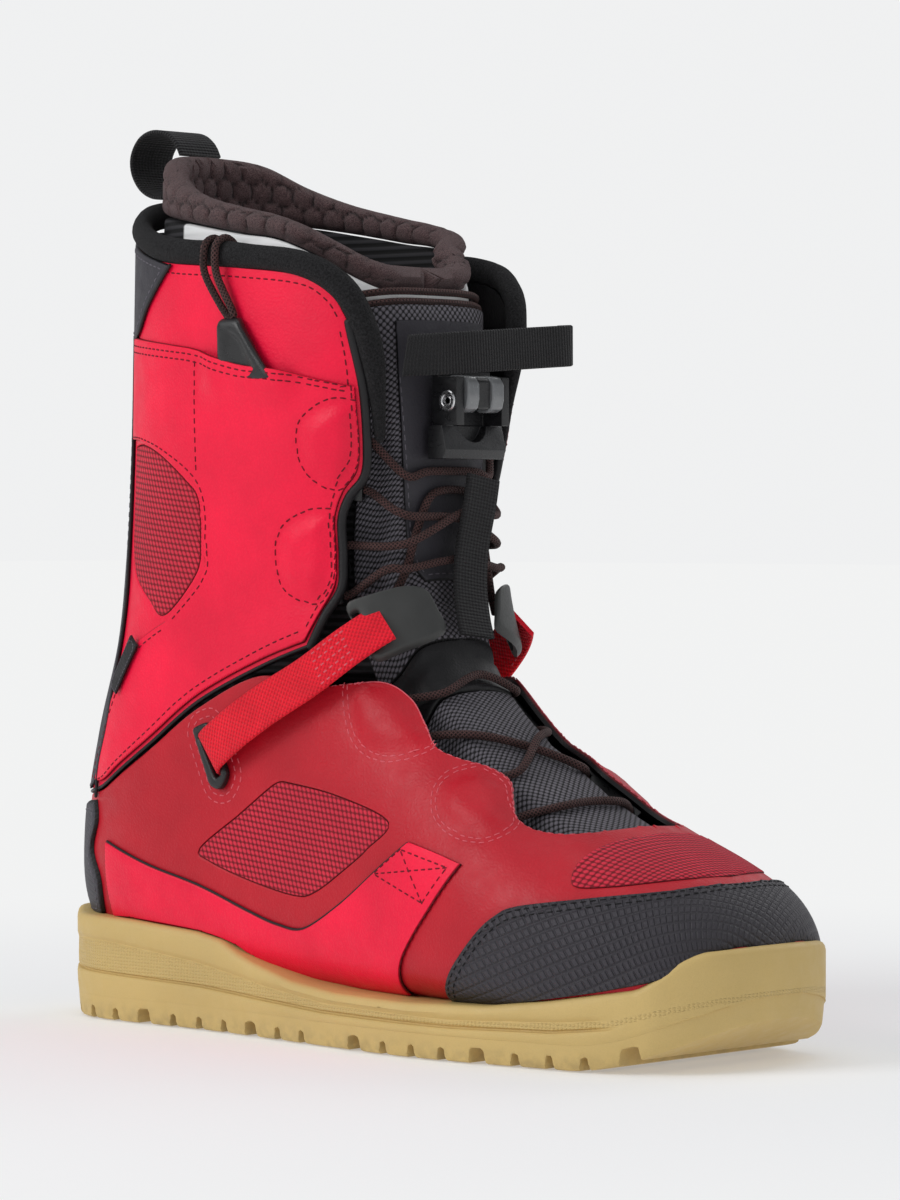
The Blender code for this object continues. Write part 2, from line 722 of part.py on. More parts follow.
def lead_in(ends, side, which):
    """Point just outside a guide, in line with its channel."""
    middle, along, away, _, half = guide_frame(ends, side)
    sign = -1 if which == "top" else 1
    return middle + along * sign * half - away * 4.0


def lace_loop(upper, lower, crossings):
    """Closed loop of lace through two pairs of guides, with the points where it crosses the tongue."""
    top_run, cross_one, bottom_run, cross_two = crossings
    loop = []
    loop += guide_arc(upper, LATERAL)[::-1] + [lead_in(upper, LATERAL, "top")] + top_run
    loop += [lead_in(upper, MEDIAL, "top")] + guide_arc(upper, MEDIAL) + [lead_in(upper, MEDIAL, "foot")]
    loop += cross_one + [lead_in(lower, LATERAL, "top")] + guide_arc(lower, LATERAL)
    loop += [lead_in(lower, LATERAL, "foot")] + bottom_run + [lead_in(lower, MEDIAL, "foot")]
    loop += guide_arc(lower, MEDIAL)[::-1] + [lead_in(lower, MEDIAL, "top")] + cross_two
    loop += [lead_in(upper, LATERAL, "foot")]
    return smooth_path(loop, 9, cyclic=True)


def upper_lace():
    crossings = (
        [over_tongue(12.5, a, 2.0) for a in (-18, -6, 6, 18)],
        [over_tongue(11.4, 20, 5.9), over_tongue(11.1, 0, 8.9), over_tongue(10.7, -20, 5.9)],
        [wall(10.4, -30, -1.2), *(over_tongue(10.15, a, 5.2) for a in (-20, 0, 20)), wall(10.4, 30, -1.2)],
        [over_tongue(10.7, 20, 5.9), over_tongue(11.1, 0, 5.6), over_tongue(11.4, -20, 5.9)],
    )
    return lace_loop(*UPPER_GUIDES, crossings)


def lower_lace():
    crossings = (
        [over_tongue(7.5, -18, 0.4), over_tongue(7.7, 0, 0.8), over_tongue(7.5, 18, 0.4)],
        [over_tongue(6.5, 16, 0.4), over_tongue(6.05, 0, 3.8), over_tongue(5.7, -13, 0.4)],
        [over_tongue(4.9, a, 0.2) for a in (-13, 0, 13)],
        [over_tongue(5.7, 13, 0.4), over_tongue(6.05, 0, 0.3), over_tongue(6.5, -16, 0.4)],
    )
    return lace_loop(*LOWER_GUIDES, crossings)


def lacing():
    for zone, pairs, lace in (("upper", UPPER_GUIDES, upper_lace()), ("lower", LOWER_GUIDES, lower_lace())):
        for side, name in SIDES:
            for level, ends in zip(("top", "foot"), pairs):
                arc = guide_arc(ends, side)
                run = [lead_in(ends, side, "top"), *arc, lead_in(ends, side, "foot")]
                lace_guide(f"{zone}_guide_{name}_{level}", ends, side, smooth_path(run, 8))
        tube(f"{zone}_lace", "brown", lace, LACE / 2, cyclic=True, sides=1)


def plate_lace():
    """Lace from one hook plate up behind the lock and down to the other."""
    half = [wall(9.6, 34, 1.5), wall(9.9, 28, 2.2), over_tongue(10.3, 20, 1.8), over_tongue(11.1, 13, 1.8),
            over_tongue(11.8, 7, 1.8), over_tongue(12.0, 2, 1.8)]
    lateral = [Vector((p.x, -p.y, p.z)) for p in half]
    path = smooth_path([*lateral, *reversed(half)], 6)
    return tube("plate_lace", "brown", path, LACE / 2, sides=1)


def pull_webbing():
    """Webbing from the lock's lace down to the lower zone's lace."""
    spots = ((11.95, -8.6), (11.1, -8.8), (10.2, -6.8), (9.4, -5.4), (8.6, -5.6), (8.05, -6.0))
    path = [wall(station, 0, depth) for station, depth in spots]
    return ribbon("pull_webbing", "black_webbing", [(p.x, p.z) for p in path], WEBBING, -7, 11)


# --- ankle strap ------------------------------------------------------------------------------------

# The strap runs over the front bar of its keeper and over the rear bar of the hook plate.
STRAP_DEPTH = -5.1


def ankle_strap(side, name):
    outline = ((-58, 101.5), (-48.5, 89), (13, 126.5), (4.5, 141.5))
    patch(f"ankle_strap_{name}", "red_webbing", outline, side, depth=STRAP_DEPTH, thick=WEBBING,
          stations=(7, 13))


def hook_plate(side, name):
    """Moulded plate over the strap's end, with a slot for the strap and a hook for the lace behind it."""
    outline = ((-4, 135), (-4, 142), (1, 146.5), (12, 148), (15.5, 141), (18.5, 131), (16, 126), (9, 123), (1, 128))
    patch(f"hook_plate_{name}", "plate_grey", outline, side, depth=-2.4, thick=2.4, stations=(6, 13))


def strap_keeper(side, name):
    """Frame round the slot that the strap comes out of."""
    outline = ((-65, 103), (-57, 105), (-46.5, 86.5), (-49, 81), (-55, 80), (-66, 97))
    hole = ((-61.8, 99.5), (-57.6, 101), (-50, 86.5), (-52.8, 84.5))
    patch(f"strap_keeper_{name}", "black_plastic", outline, side, thick=2.4, stations=(8, 13), hole=hole)


# --- lace lock --------------------------------------------------------------------------------------

LOCK_Y = 2.0
LOCK_BACK = 12.6
LOCK_FOOT = 191.5
LOCK_PIN_X = LOCK_BACK + 7.0
LOCK_PIN_Z = 210.5


def lock_base():
    """Moulded body of the lace lock: back plate, two cheeks and a ramp with a scoop under the lever."""
    y, back, foot = LOCK_Y, LOCK_BACK, LOCK_FOOT
    base = box("lock_base", "black_plastic", (back, y - 13, foot + 4), (back + 2.6, y + 13, foot + 29))
    for side in (-1, 1):
        edge = y + side * 13
        inner = y + side * 9.4
        cheek = box(f"lock_cheek_{side}", None, (back + 1, min(edge, inner), foot + 11),
                    (back + 11, max(edge, inner), foot + 27))
        boolean(base, cheek, "UNION")
    bm = bmesh.new()
    outline = ((back, foot), (back + 6.5, foot), (back + 8, foot + 3), (back + 6, foot + 11), (back, foot + 11))
    face = bm.faces.new([bm.verts.new((x, y - 15, z)) for x, z in outline])
    pushed = bmesh.ops.extrude_face_region(bm, geom=[face])["geom"]
    corners = [item for item in pushed if isinstance(item, bmesh.types.BMVert)]
    bmesh.ops.translate(bm, vec=(0, 30, 0), verts=corners)
    boolean(base, finished(bm, "lock_ramp"), "UNION")
    scoop = rod("lock_scoop", None, (back + 3.4, y, foot + 13), (back + 20, y, foot + 13), 7.5, 20)
    boolean(base, scoop)
    bore = rod("lock_bore", None, (LOCK_PIN_X, y - 20, LOCK_PIN_Z), (LOCK_PIN_X, y + 20, LOCK_PIN_Z), 2.1)
    return boolean(base, bore)


def lock_lever():
    """Forked lever between the cheeks; its toothed heel bites the lace, and lifting its tip frees it."""
    x, z = LOCK_PIN_X, LOCK_PIN_Z
    outline = ((x - 3.0, z - 2.8), (x - 1, z - 4.0), (x + 3.4, z - 3.2), (x + 5.2, z + 1), (x + 5.5, z + 7),
               (x + 3.5, z + 8.5), (x + 0.5, z + 4.5), (x - 3.0, z + 2.8))
    lever = prism("lock_lever", outline, LOCK_Y - 9, LOCK_Y + 9, "lock_grey")
    bore = rod("lever_bore", None, (x, LOCK_Y - 20, z), (x, LOCK_Y + 20, z), 2.1)
    boolean(lever, bore)
    slot = box("lever_slot", None, (x - 8, LOCK_Y - 3, z - 8), (x + 4, LOCK_Y + 3, z + 12))
    boolean(lever, slot)
    hang(lever, (x, LOCK_Y, z))
    return lever


def lock_pin():
    """Tubular rivet that the lever turns on."""
    x, z = LOCK_PIN_X, LOCK_PIN_Z
    pin = rod("lock_pin", "steel", (x, LOCK_Y - 13.4, z), (x, LOCK_Y + 13.4, z), 1.75)
    bore = rod("pin_bore", None, (x, LOCK_Y - 20, z), (x, LOCK_Y + 20, z), 1.0, 12)
    return boolean(pin, bore)


def lock_spring():
    """Torsion spring round the pin, in the lever's slot."""
    turns, steps, radius, wire = 3, 8, 2.5, 0.35
    path = []
    for step in range(turns * steps + 1):
        angle = 2 * math.pi * step / steps
        path.append((LOCK_PIN_X + radius * math.cos(angle), LOCK_Y - 2.2 + 4.4 * step / (turns * steps),
                     LOCK_PIN_Z + radius * math.sin(angle)))
    return tube("lock_spring", "steel", path, wire, sides=1)


# --- strap, puller and loops ------------------------------------------------------------------------

STRAP_LOW, STRAP_HIGH = 219.5, 234.5
STRAP_HINGE = (29, 37)


def power_strap():
    """Webbing that closes over the front: a short anchor on the medial flap and the strap itself."""
    anchor = ((10.4, 11), (10.8, 16), (13.5, 21.5), (19, 27.5), (26, 32))
    ribbon("strap_anchor", "black_webbing", anchor, WEBBING, STRAP_LOW + 0.6, STRAP_HIGH - 2, axis="Z")
    run = ((26.5, 36.6), (30, 37.4), (32.6, 36), (33, 32), (31.5, 24), (29.5, 10), (27.5, -6), (24, -20), (19, -31))
    strap = ribbon("power_strap", "black_webbing", run, WEBBING, STRAP_LOW, STRAP_HIGH, axis="Z")
    hang(strap, (*STRAP_HINGE, (STRAP_LOW + STRAP_HIGH) / 2))
    return strap


PULLER_X = -40
PULLER_Z = 229
CORD_X = -47


def puller_handle():
    """Tapered handle that is stowed in the cuff's pocket."""
    face = on_side(PULLER_X, PULLER_Z, LATERAL).y - 0.9
    outline = ((PULLER_X - 5, 237), (PULLER_X + 5.5, 237), (PULLER_X + 17, 221), (PULLER_X + 17, 217.5),
               (PULLER_X - 5.5, 217.5))
    handle = prism("puller_handle", outline, face - 3.4, face, "black_plastic")
    hang(handle, (PULLER_X, face, PULLER_Z))
    return handle


def puller_cord():
    """Cord from the liner over the collar roll to the handle and back."""
    face = on_side(CORD_X, 259.7, LATERAL).y
    grip = on_side(PULLER_X, PULLER_Z, LATERAL).y - 2.6
    strand = ((4.8, 250.5), (5.1, 254.5), (5.85, 259.7), (4.6, 263.2), (0.9, 264.8), (-2.8, 263.3),
              (-4.2, 259.7), (-3.2, 252))
    one = [Vector((CORD_X + 2.6, face + y, z)) for y, z in strand]
    other = [Vector((CORD_X - 2.6, face + y, z)) for y, z in reversed(strand)]
    turn = [Vector((PULLER_X + 1.6, grip, 239.6)), Vector((PULLER_X - 1.6, grip, 239.6))]
    return tube("puller_cord", "brown", smooth_path([*one, *turn, *other], 5), LACE / 2)


LOOP_PIVOT = (-108, 0, 288)


def liner_pull_loop():
    path = ((-112.2, 283.4), (-119, 283.6), (-125, 286.5), (-129, 292), (-129.5, 298), (-126, 303.5), (-120, 306),
            (-113, 305.2), (-108, 301.8), (-105.5, 297.6))
    loop = ribbon("liner_pull_loop", "black_webbing", path, WEBBING, -10, 10)
    hang(loop, LOOP_PIVOT)
    return loop


FINISHES = {}
COLOURS = {
    "bright_red": ((0.78, 0.02, 0.06), 0.5),
    "dark_red": ((0.38, 0.02, 0.035), 0.6),
    "red_mesh": ((0.45, 0.015, 0.04), 0.8),
    "red_webbing": ((0.72, 0.0, 0.02), 0.7),
    "black_leather": ((0.03, 0.03, 0.035), 0.5),
    "black_webbing": ((0.015, 0.015, 0.017), 0.8),
    "black_plastic": ((0.015, 0.016, 0.018), 0.3),
    "guide_plastic": ((0.012, 0.013, 0.015), 0.35),
    "lock_grey": ((0.12, 0.13, 0.13), 0.3),
    "plate_grey": ((0.045, 0.05, 0.047), 0.5),
    "tongue_mesh": ((0.03, 0.03, 0.033), 0.8),
    "toe_grey": ((0.045, 0.045, 0.05), 0.55),
    "heel_grey": ((0.05, 0.055, 0.06), 0.6),
    "warm_grey": ((0.2, 0.2, 0.21), 0.7),
    "fleece_black": ((0.02, 0.026, 0.025), 0.95),
    "fleece_brown": ((0.11, 0.06, 0.065), 0.95),
    "liner_foam": ((0.8, 0.8, 0.8), 0.8),
    "foam": ((0.1, 0.1, 0.1), 0.9),
    "board": ((0.3, 0.25, 0.2), 0.9),
    "brown": ((0.1, 0.05, 0.045), 0.8),
    "gum": ((0.6, 0.46, 0.22), 0.6),
    "steel": ((0.6, 0.6, 0.6), 0.25),
}


def main():
    clear_scene()
    collection("snowboard_boot")
    collection("cutters")
    for name, (colour, roughness) in COLOURS.items():
        FINISHES[name] = material(name, colour, roughness, metallic=1.0 if name == "steel" else 0.0)
    outsole()
    midsole()
    heel_cushion()
    lower_shell()
    toe_cap()
    toe_vent()
    heel_counter()
    cuff_shell()
    collar_roll()
    for side, name in SIDES:
        rand(side, name)
        side_vent(side, name)
        cuff_panel(side, name)
        rear_vent(side, name)
        ankle_strap(side, name)
        hook_plate(side, name)
        strap_keeper(side, name)
    back_stay()
    back_tab()
    side_label()
    tongue()
    liner_foot()
    liner_cuff()
    liner_collar()
    footbed()
    lasting_board()
    lacing()
    plate_lace()
    pull_webbing()
    lock_base()
    lock_lever()
    lock_pin()
    lock_spring()
    power_strap()
    puller_handle()
    puller_cord()
    liner_pull_loop()


main()
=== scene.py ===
"""Looks of the snowboard boot: every visible piece, its material, the camera, the lights and the floor.

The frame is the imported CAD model: metres, +X to the toe, -Y lateral, +Z up. Lengths in this script are
millimetres until a mesh is made. The upper's pieces lie on the same last as the CAD: a place on it is a
station, counted from the toe up the shaft, and how far round that section it is, from 0 in front to -1
at the back on the lateral side and 1 on the medial side. "out" is the height over the upper's outer face.
"""

import math

import bmesh
import bpy
import numpy as np
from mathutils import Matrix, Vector
from mathutils.bvhtree import BVHTree
from mathutils.geometry import delaunay_2d_cdt
from mathutils.kdtree import KDTree


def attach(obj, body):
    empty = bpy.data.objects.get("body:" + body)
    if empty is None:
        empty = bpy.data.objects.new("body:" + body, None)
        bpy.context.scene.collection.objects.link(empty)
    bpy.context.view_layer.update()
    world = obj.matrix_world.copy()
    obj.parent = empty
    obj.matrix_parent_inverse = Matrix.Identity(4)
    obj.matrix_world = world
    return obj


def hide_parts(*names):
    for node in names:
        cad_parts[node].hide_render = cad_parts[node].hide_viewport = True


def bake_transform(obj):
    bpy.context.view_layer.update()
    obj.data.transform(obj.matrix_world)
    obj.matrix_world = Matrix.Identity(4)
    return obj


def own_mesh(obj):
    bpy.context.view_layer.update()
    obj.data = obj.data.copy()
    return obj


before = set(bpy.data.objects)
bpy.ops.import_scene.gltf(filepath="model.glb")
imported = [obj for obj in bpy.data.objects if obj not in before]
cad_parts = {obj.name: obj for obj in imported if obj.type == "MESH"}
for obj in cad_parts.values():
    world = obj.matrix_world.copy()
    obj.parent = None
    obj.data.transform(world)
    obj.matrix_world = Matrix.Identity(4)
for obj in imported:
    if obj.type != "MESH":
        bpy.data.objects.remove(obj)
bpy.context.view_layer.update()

MM = 0.001
WHOLE_TURN = 2 * math.pi
LATERAL = -1
MEDIAL = 1
SIDES = ((LATERAL, "lateral"), (MEDIAL, "medial"))

# top x, top z, bottom x, bottom z, half width lateral, half width medial,
# place of the widest point from the top, squareness of the front, squareness of the back
LAST = np.array((
    (148, 32, 148, 20, 9, 9, 0.55, 2.0, 2.0),
    (143, 47, 145, 18, 26, 25, 0.60, 2.2, 2.4),
    (133, 57, 136, 16, 40, 38, 0.66, 2.3, 3.0),
    (117, 65, 118, 15, 49, 46, 0.70, 2.3, 3.4),
    (94, 74, 93, 15, 54, 50, 0.72, 2.4, 3.6),
    (71, 85, 64, 15, 55, 50, 0.72, 2.5, 3.6),
    (50, 99, 34, 15, 52, 47, 0.70, 2.6, 3.6),
    (33, 113, 2, 15, 48, 44, 0.66, 2.7, 3.5),
    (22, 127, -34, 15, 45, 42, 0.62, 2.8, 3.3),
    (17, 141, -74, 15, 43, 41, 0.58, 3.0, 3.2),
    (14, 155, -114, 17, 42, 41, 0.55, 3.2, 3.0),
    (13, 169, -140, 32, 42, 41, 0.53, 3.3, 2.6),
    (13, 182, -146, 58, 42, 41, 0.52, 3.4, 2.3),
    (14, 195, -140, 90, 43, 42, 0.51, 3.6, 2.2),
    (15, 208, -130, 122, 45, 44, 0.50, 3.7, 2.1),
    (16, 222, -124, 155, 47, 46, 0.50, 3.8, 2.1),
    (17, 237, -120, 190, 49, 48, 0.50, 3.8, 2.1),
    (16, 255, -118, 228, 50, 50, 0.50, 3.8, 2.1),
    (14, 275, -116, 268, 51, 51, 0.50, 3.8, 2.1),
    (12, 300, -115, 308, 51, 51, 0.50, 3.8, 2.1),
))
TOP_STATION = len(LAST) - 1.0


# --- the last ---------------------------------------------------------------------------------------

def spline(part, before, start, end, after):
    """Catmull-Rom value a part of the way from start to end."""
    return 0.5 * (
        2 * start
        + (end - before) * part
        + (2 * before - 5 * start + 4 * end - after) * part ** 2
        + (3 * start - before - 3 * end + after) * part ** 3
    )


def ramp(value, low, high):
    """Smooth step from 0 at low to 1 at high."""
    part = np.clip((value - low) / (high - low), 0.0, 1.0)
    return part * part * (3 - 2 * part)


def unit(vector):
    return vector / np.linalg.norm(vector)


def way_along(path):
    """Length of a path up to each of its points."""
    return np.concatenate([[0], np.cumsum(np.linalg.norm(np.diff(path, axis=0), axis=1))])


def last_rows(station):
    station = np.clip(station, 0.0, TOP_STATION)
    first = np.minimum(station.astype(int), len(LAST) - 2)
    rows = [LAST[np.clip(first + step, 0, len(LAST) - 1)] for step in (-1, 0, 1, 2)]
    return spline((station - first)[:, None], *rows).T


def wall(station, turn, out=0.0):
    """Points over the upper's outer face, where a turn is in degrees and 0 is the front."""
    station, turn = np.atleast_1d(station).astype(float), np.atleast_1d(turn).astype(float)
    depth = -np.asarray(out, float)
    station = station + 0.425 * np.maximum(depth, 0.0) ** 0.55 * np.maximum(0.0, 1 - station / 3)
    top_x, top_z, low_x, low_z, lateral, medial, widest, front, back = last_rows(station)
    length = np.hypot(low_x - top_x, low_z - top_z)
    cosine, sine = np.cos(np.radians(turn)), np.sin(np.radians(turn))
    ahead = cosine > 0
    power = 2 / np.where(ahead, front, back)
    reach = np.maximum(np.where(ahead, widest, 1 - widest) * length - depth, 0.5)
    half = np.maximum(np.where(sine < 0, lateral, medial) - depth, 0.5)
    run = widest * length - np.sign(cosine) * np.abs(cosine) ** power * reach
    y = np.sign(sine) * np.abs(sine) ** power * half
    x = top_x + (low_x - top_x) / length * run
    z = top_z + (low_z - top_z) / length * run
    return np.column_stack((x, y, z))


def turn_at(x, z):
    """Stations and unsigned turns of the wall's points that side view shows at x, z."""
    low, high = np.zeros(len(x)), np.full(len(x), TOP_STATION)
    for _ in range(40):
        middle = (low + high) / 2
        top_x, top_z, low_x, low_z = last_rows(middle)[:4]
        ahead = (x - top_x) * (low_z - top_z) - (z - top_z) * (low_x - top_x) > 0
        low, high = np.where(ahead, middle, low), np.where(ahead, high, middle)
    top_x, top_z, low_x, low_z, _, _, widest, front, back = last_rows(low)
    size = (low_x - top_x) ** 2 + (low_z - top_z) ** 2
    run = np.clip(((x - top_x) * (low_x - top_x) + (z - top_z) * (low_z - top_z)) / size, 0.0, 1.0)
    near = np.clip((widest - run) / widest, 0, 1) ** (front / 2)
    far = np.clip((run - widest) / (1 - widest), 0, 1) ** (back / 2)
    turn = np.where(run < widest, np.degrees(np.arccos(near)), 180 - np.degrees(np.arccos(far)))
    return low, turn


STATION_STEP = 0.05
ROUND_STEPS = 240
TABLE_STATIONS = np.linspace(0, TOP_STATION, round(TOP_STATION / STATION_STEP) + 1)
TABLE_ROUND = np.linspace(0, 1, ROUND_STEPS + 1)
LAST_ROW = len(TABLE_STATIONS) - 2


def way_round_table(side):
    """Turn at even steps of half the way round, and that half's length, for the table's stations."""
    quarter = 45 * (1 - np.cos(np.pi * np.linspace(0, 1, 301)))
    turns = np.concatenate([quarter[:-1], 90 + quarter])
    table, sizes = [], []
    for station in TABLE_STATIONS:
        points = wall(np.full(len(turns), station), side * turns)
        length = way_along(points)
        table.append(np.interp(TABLE_ROUND, length / length[-1], turns))
        sizes.append(length[-1])
    return np.array(table), np.array(sizes)


TURNS = {side: way_round_table(side)[0] for side, _ in SIDES}
HALF_ROUND = way_round_table(LATERAL)[1]


def half_round(station):
    """Length of half the way round the last at a station."""
    return np.interp(station, TABLE_STATIONS, HALF_ROUND)


def turn_of(station, round_):
    """Signed turn in degrees of places on the last, given as stations and the ways round."""
    round_ = (round_ + 1) % 2 - 1
    row = np.clip(station, 0, TOP_STATION) / STATION_STEP
    column = np.abs(round_) * ROUND_STEPS
    top, left = np.minimum(row.astype(int), LAST_ROW), np.minimum(column.astype(int), ROUND_STEPS - 1)
    down, across = row - top, column - left
    found = []
    for table in (TURNS[LATERAL], TURNS[MEDIAL]):
        above = table[top, left] * (1 - across) + table[top, left + 1] * across
        below = table[top + 1, left] * (1 - across) + table[top + 1, left + 1] * across
        found.append(above * (1 - down) + below * down)
    return np.where(round_ < 0, -found[0], found[1])


def place_of(station, turn):
    """Places on the last, as station and way round, of signed turns."""
    station, turn = np.atleast_1d(station).astype(float), np.atleast_1d(turn).astype(float)
    station, turn = np.broadcast_arrays(station, turn)
    rounds = []
    for level, angle in zip(np.clip(station, 0, TOP_STATION) / STATION_STEP, turn):
        row = min(int(level), LAST_ROW)
        part = level - row
        table = TURNS[LATERAL if angle < 0 else MEDIAL]
        line = table[row] * (1 - part) + table[row + 1] * part
        rounds.append(math.copysign(np.interp(abs(angle), line, TABLE_ROUND), angle))
    return np.column_stack((station, rounds))


def skin(places, out=0.0):
    """Points over places on the last."""
    return wall(places[:, 0], turn_of(places[:, 0], places[:, 1]), out)


def smooth(points, step=1.4, cyclic=False):
    """Points about one step apart on a Catmull-Rom curve through the given ones."""
    points = np.array(points, float)
    count = len(points)
    path = []
    for index in range(count if cyclic else count - 1):
        around = [index - 1, index, index + 1, index + 2]
        around = [i % count if cyclic else min(max(i, 0), count - 1) for i in around]
        corners = points[around]
        # the small part added keeps the last digit from deciding how half a step is rounded
        steps = max(1, round(np.linalg.norm(corners[2] - corners[1]) / step + 1e-6))
        path += [spline(k / steps, *corners) for k in range(steps)]
    return np.array(path if cyclic else path + [points[-1]])


def side_places(run, side, round_shift=0.0):
    """Places of a smooth run of x, z in side view."""
    run = smooth(run)
    station, turn = turn_at(run[:, 0], run[:, 1])
    places = place_of(station, np.maximum(turn, 0.01) * side)
    places[:, 1] += round_shift
    return places


def closed_outline(*runs, side=LATERAL):
    """Closed outline on one side from runs of x, z in side view, with a corner where two runs meet."""
    return np.concatenate([side_places(run, side)[:-1] for run in runs])


def span(first, last, count):
    """Places straight between two places, without the last one."""
    first, last = np.array(first, float), np.array(last, float)
    return first + (last - first) * (np.arange(count) / count)[:, None]


def slopes(places):
    """How fast the skin's points move with the station and with the way round."""
    found = []
    for step in ((0.02, 0), (0, 0.002)):
        found.append((skin(places + step) - skin(places - step)) / (2 * max(step)))
    return found


def beside(places, distance, closed=True):
    """The line of places moved over the skin to one side by a distance."""
    if closed:
        ahead = np.roll(places, -1, 0) - np.roll(places, 1, 0)
    else:
        ahead = np.gradient(places, axis=0)
    by_station, by_round = slopes(places)
    tangent = by_station * ahead[:, :1] + by_round * ahead[:, 1:]
    sideways = np.cross(np.cross(by_round, by_station), tangent)
    sideways *= distance / np.maximum(np.linalg.norm(sideways, axis=1, keepdims=True), 1e-9)
    aa, ab, bb = (by_station ** 2).sum(1), (by_station * by_round).sum(1), (by_round ** 2).sum(1)
    a, b = (by_station * sideways).sum(1), (by_round * sideways).sum(1)
    size = aa * bb - ab * ab
    return places + np.column_stack(((bb * a - ab * b) / size, (aa * b - ab * a) / size))


def inside(places, loop):
    """Which places lie inside a closed loop."""
    ends = np.roll(loop, -1, 0)
    found = []
    for part in np.array_split(places, max(1, len(places) // 3000)):
        x, y = part[:, :1], part[:, 1:]
        across = (loop[:, 1] > y) != (ends[:, 1] > y)
        rise = np.where(ends[:, 1] == loop[:, 1], 1.0, ends[:, 1] - loop[:, 1])
        left = x < (ends[:, 0] - loop[:, 0]) * (y - loop[:, 1]) / rise + loop[:, 0]
        found.append((across & left).sum(1) % 2 == 1)
    return np.concatenate(found)


def tree_of(points):
    tree = KDTree(len(points))
    for index, point in enumerate(points):
        tree.insert(point, index)
    tree.balance()
    return tree


def distances(points, tree):
    return np.array([tree.find(point)[2] for point in points])


def dense(loop, count=6):
    """Points on the skin along a closed loop, closer together than its own."""
    ends = np.roll(loop, -1, 0)
    return skin(np.concatenate([loop + (ends - loop) * step / count for step in range(count)]))


def inset(loop, distance, inwards=True):
    """The closed loop moved inwards or outwards, without the places that a corner folds over."""
    moved = beside(loop, distance)
    if (inside(moved, loop) == inwards).mean() < 0.5:
        moved = beside(loop, -distance)
    clear = distances(skin(moved), tree_of(dense(loop))) > 0.94 * distance
    return moved[clear & (inside(moved, loop) == inwards)]


def outset(loop, distance):
    return inset(loop, distance, inwards=False)


# --- meshes -----------------------------------------------------------------------------------------

# what the edge attribute says on a piece with no cut edge, and on the lining inside
NO_EDGE = 9.0
LINED = -5


def finished(name, points, faces, finish, pattern=None, edge=None, sharp=50):
    """Closed mesh object from points in millimetres, with what its material reads of every point."""
    mesh = bpy.data.meshes.new(name)
    mesh.from_pydata(np.asarray(points) * MM, [], [tuple(int(i) for i in face) for face in faces])
    for label, kind, values in (("pattern", "FLOAT_VECTOR", pattern), ("edge", "FLOAT", edge)):
        attribute = mesh.attributes.new(label, kind, "POINT")
        if values is None:
            values = points if label == "pattern" else np.full(len(points), NO_EDGE)
        attribute.data.foreach_set("vector" if kind == "FLOAT_VECTOR" else "value", np.ravel(values))
    bm = bmesh.new()
    bm.from_mesh(mesh)
    bmesh.ops.recalc_face_normals(bm, faces=bm.faces)
    bm.to_mesh(mesh)
    bm.free()
    mesh.shade_smooth()
    mesh.set_sharp_from_angle(angle=math.radians(sharp))
    mesh.materials.append(LOOKS[finish])
    made = bpy.data.objects.new(name, mesh)
    bpy.context.scene.collection.objects.link(made)
    return made


def tree_of_pieces(pieces):
    points, polygons = [], []
    for piece in pieces:
        start = len(points)
        points += [vertex.co / MM for vertex in piece.data.vertices]
        polygons += [[start + i for i in polygon.vertices] for polygon in piece.data.polygons]
    return BVHTree.FromPolygons(points, polygons)


def join(name, pieces):
    """One object of several."""
    bpy.ops.object.select_all(action="DESELECT")
    for piece in pieces:
        piece.select_set(True)
    bpy.context.view_layer.objects.active = pieces[0]
    bpy.ops.object.join()
    pieces[0].name = name
    pieces[0].data.name = name
    return pieces[0]


def on_places(value, places):
    return value(places[:, 0], turn_of(places[:, 0], places[:, 1])) if callable(value) else value


def triangles(loops, rings, grid):
    """Places and triangles of the area inside the first loop and outside the others."""
    by_station, by_round = slopes(loops[0])
    scale = np.array((np.linalg.norm(by_station, axis=1).mean(), np.linalg.norm(by_round, axis=1).mean()))
    tree = tree_of(np.concatenate([dense(loop) for loop in loops]))
    extra = [(d, inset(loop, d, inwards=loop is loops[0])) for d in rings for loop in loops]
    low, high = loops[0].min(0), loops[0].max(0)
    steps = grid / scale
    rows = np.arange(low[0], high[0], steps[0])
    columns = np.arange(low[1], high[1], steps[1])
    lattice = np.array([(row, column + (steps[1] / 2 if index % 2 else 0))
                        for index, row in enumerate(rows) for column in columns])
    lattice = lattice[inside(lattice, loops[0])]
    for loop in loops[1:]:
        lattice = lattice[~inside(lattice, loop)]
    lattice = lattice[distances(skin(lattice), tree) > rings[-1] + grid * 0.45]
    near = [ring[distances(skin(ring), tree) > 0.9 * d] for d, ring in extra]
    places, edges = [], []
    for loop in loops:
        start = sum(len(part) for part in places)
        edges += [(start + i, start + (i + 1) % len(loop)) for i in range(len(loop))]
        places.append(loop)
    places = np.concatenate([*places, *near, lattice])
    flat, _, faces, _, _, _ = delaunay_2d_cdt([Vector(p) for p in places * scale], edges, [], 0, 1e-6)
    places = np.array([tuple(p) for p in flat]) / scale
    faces = np.array([tuple(face) for face in faces])
    middle = places[faces].mean(1)
    kept = inside(middle, loops[0])
    for loop in loops[1:]:
        kept &= ~inside(middle, loop)
    return places, faces[kept]


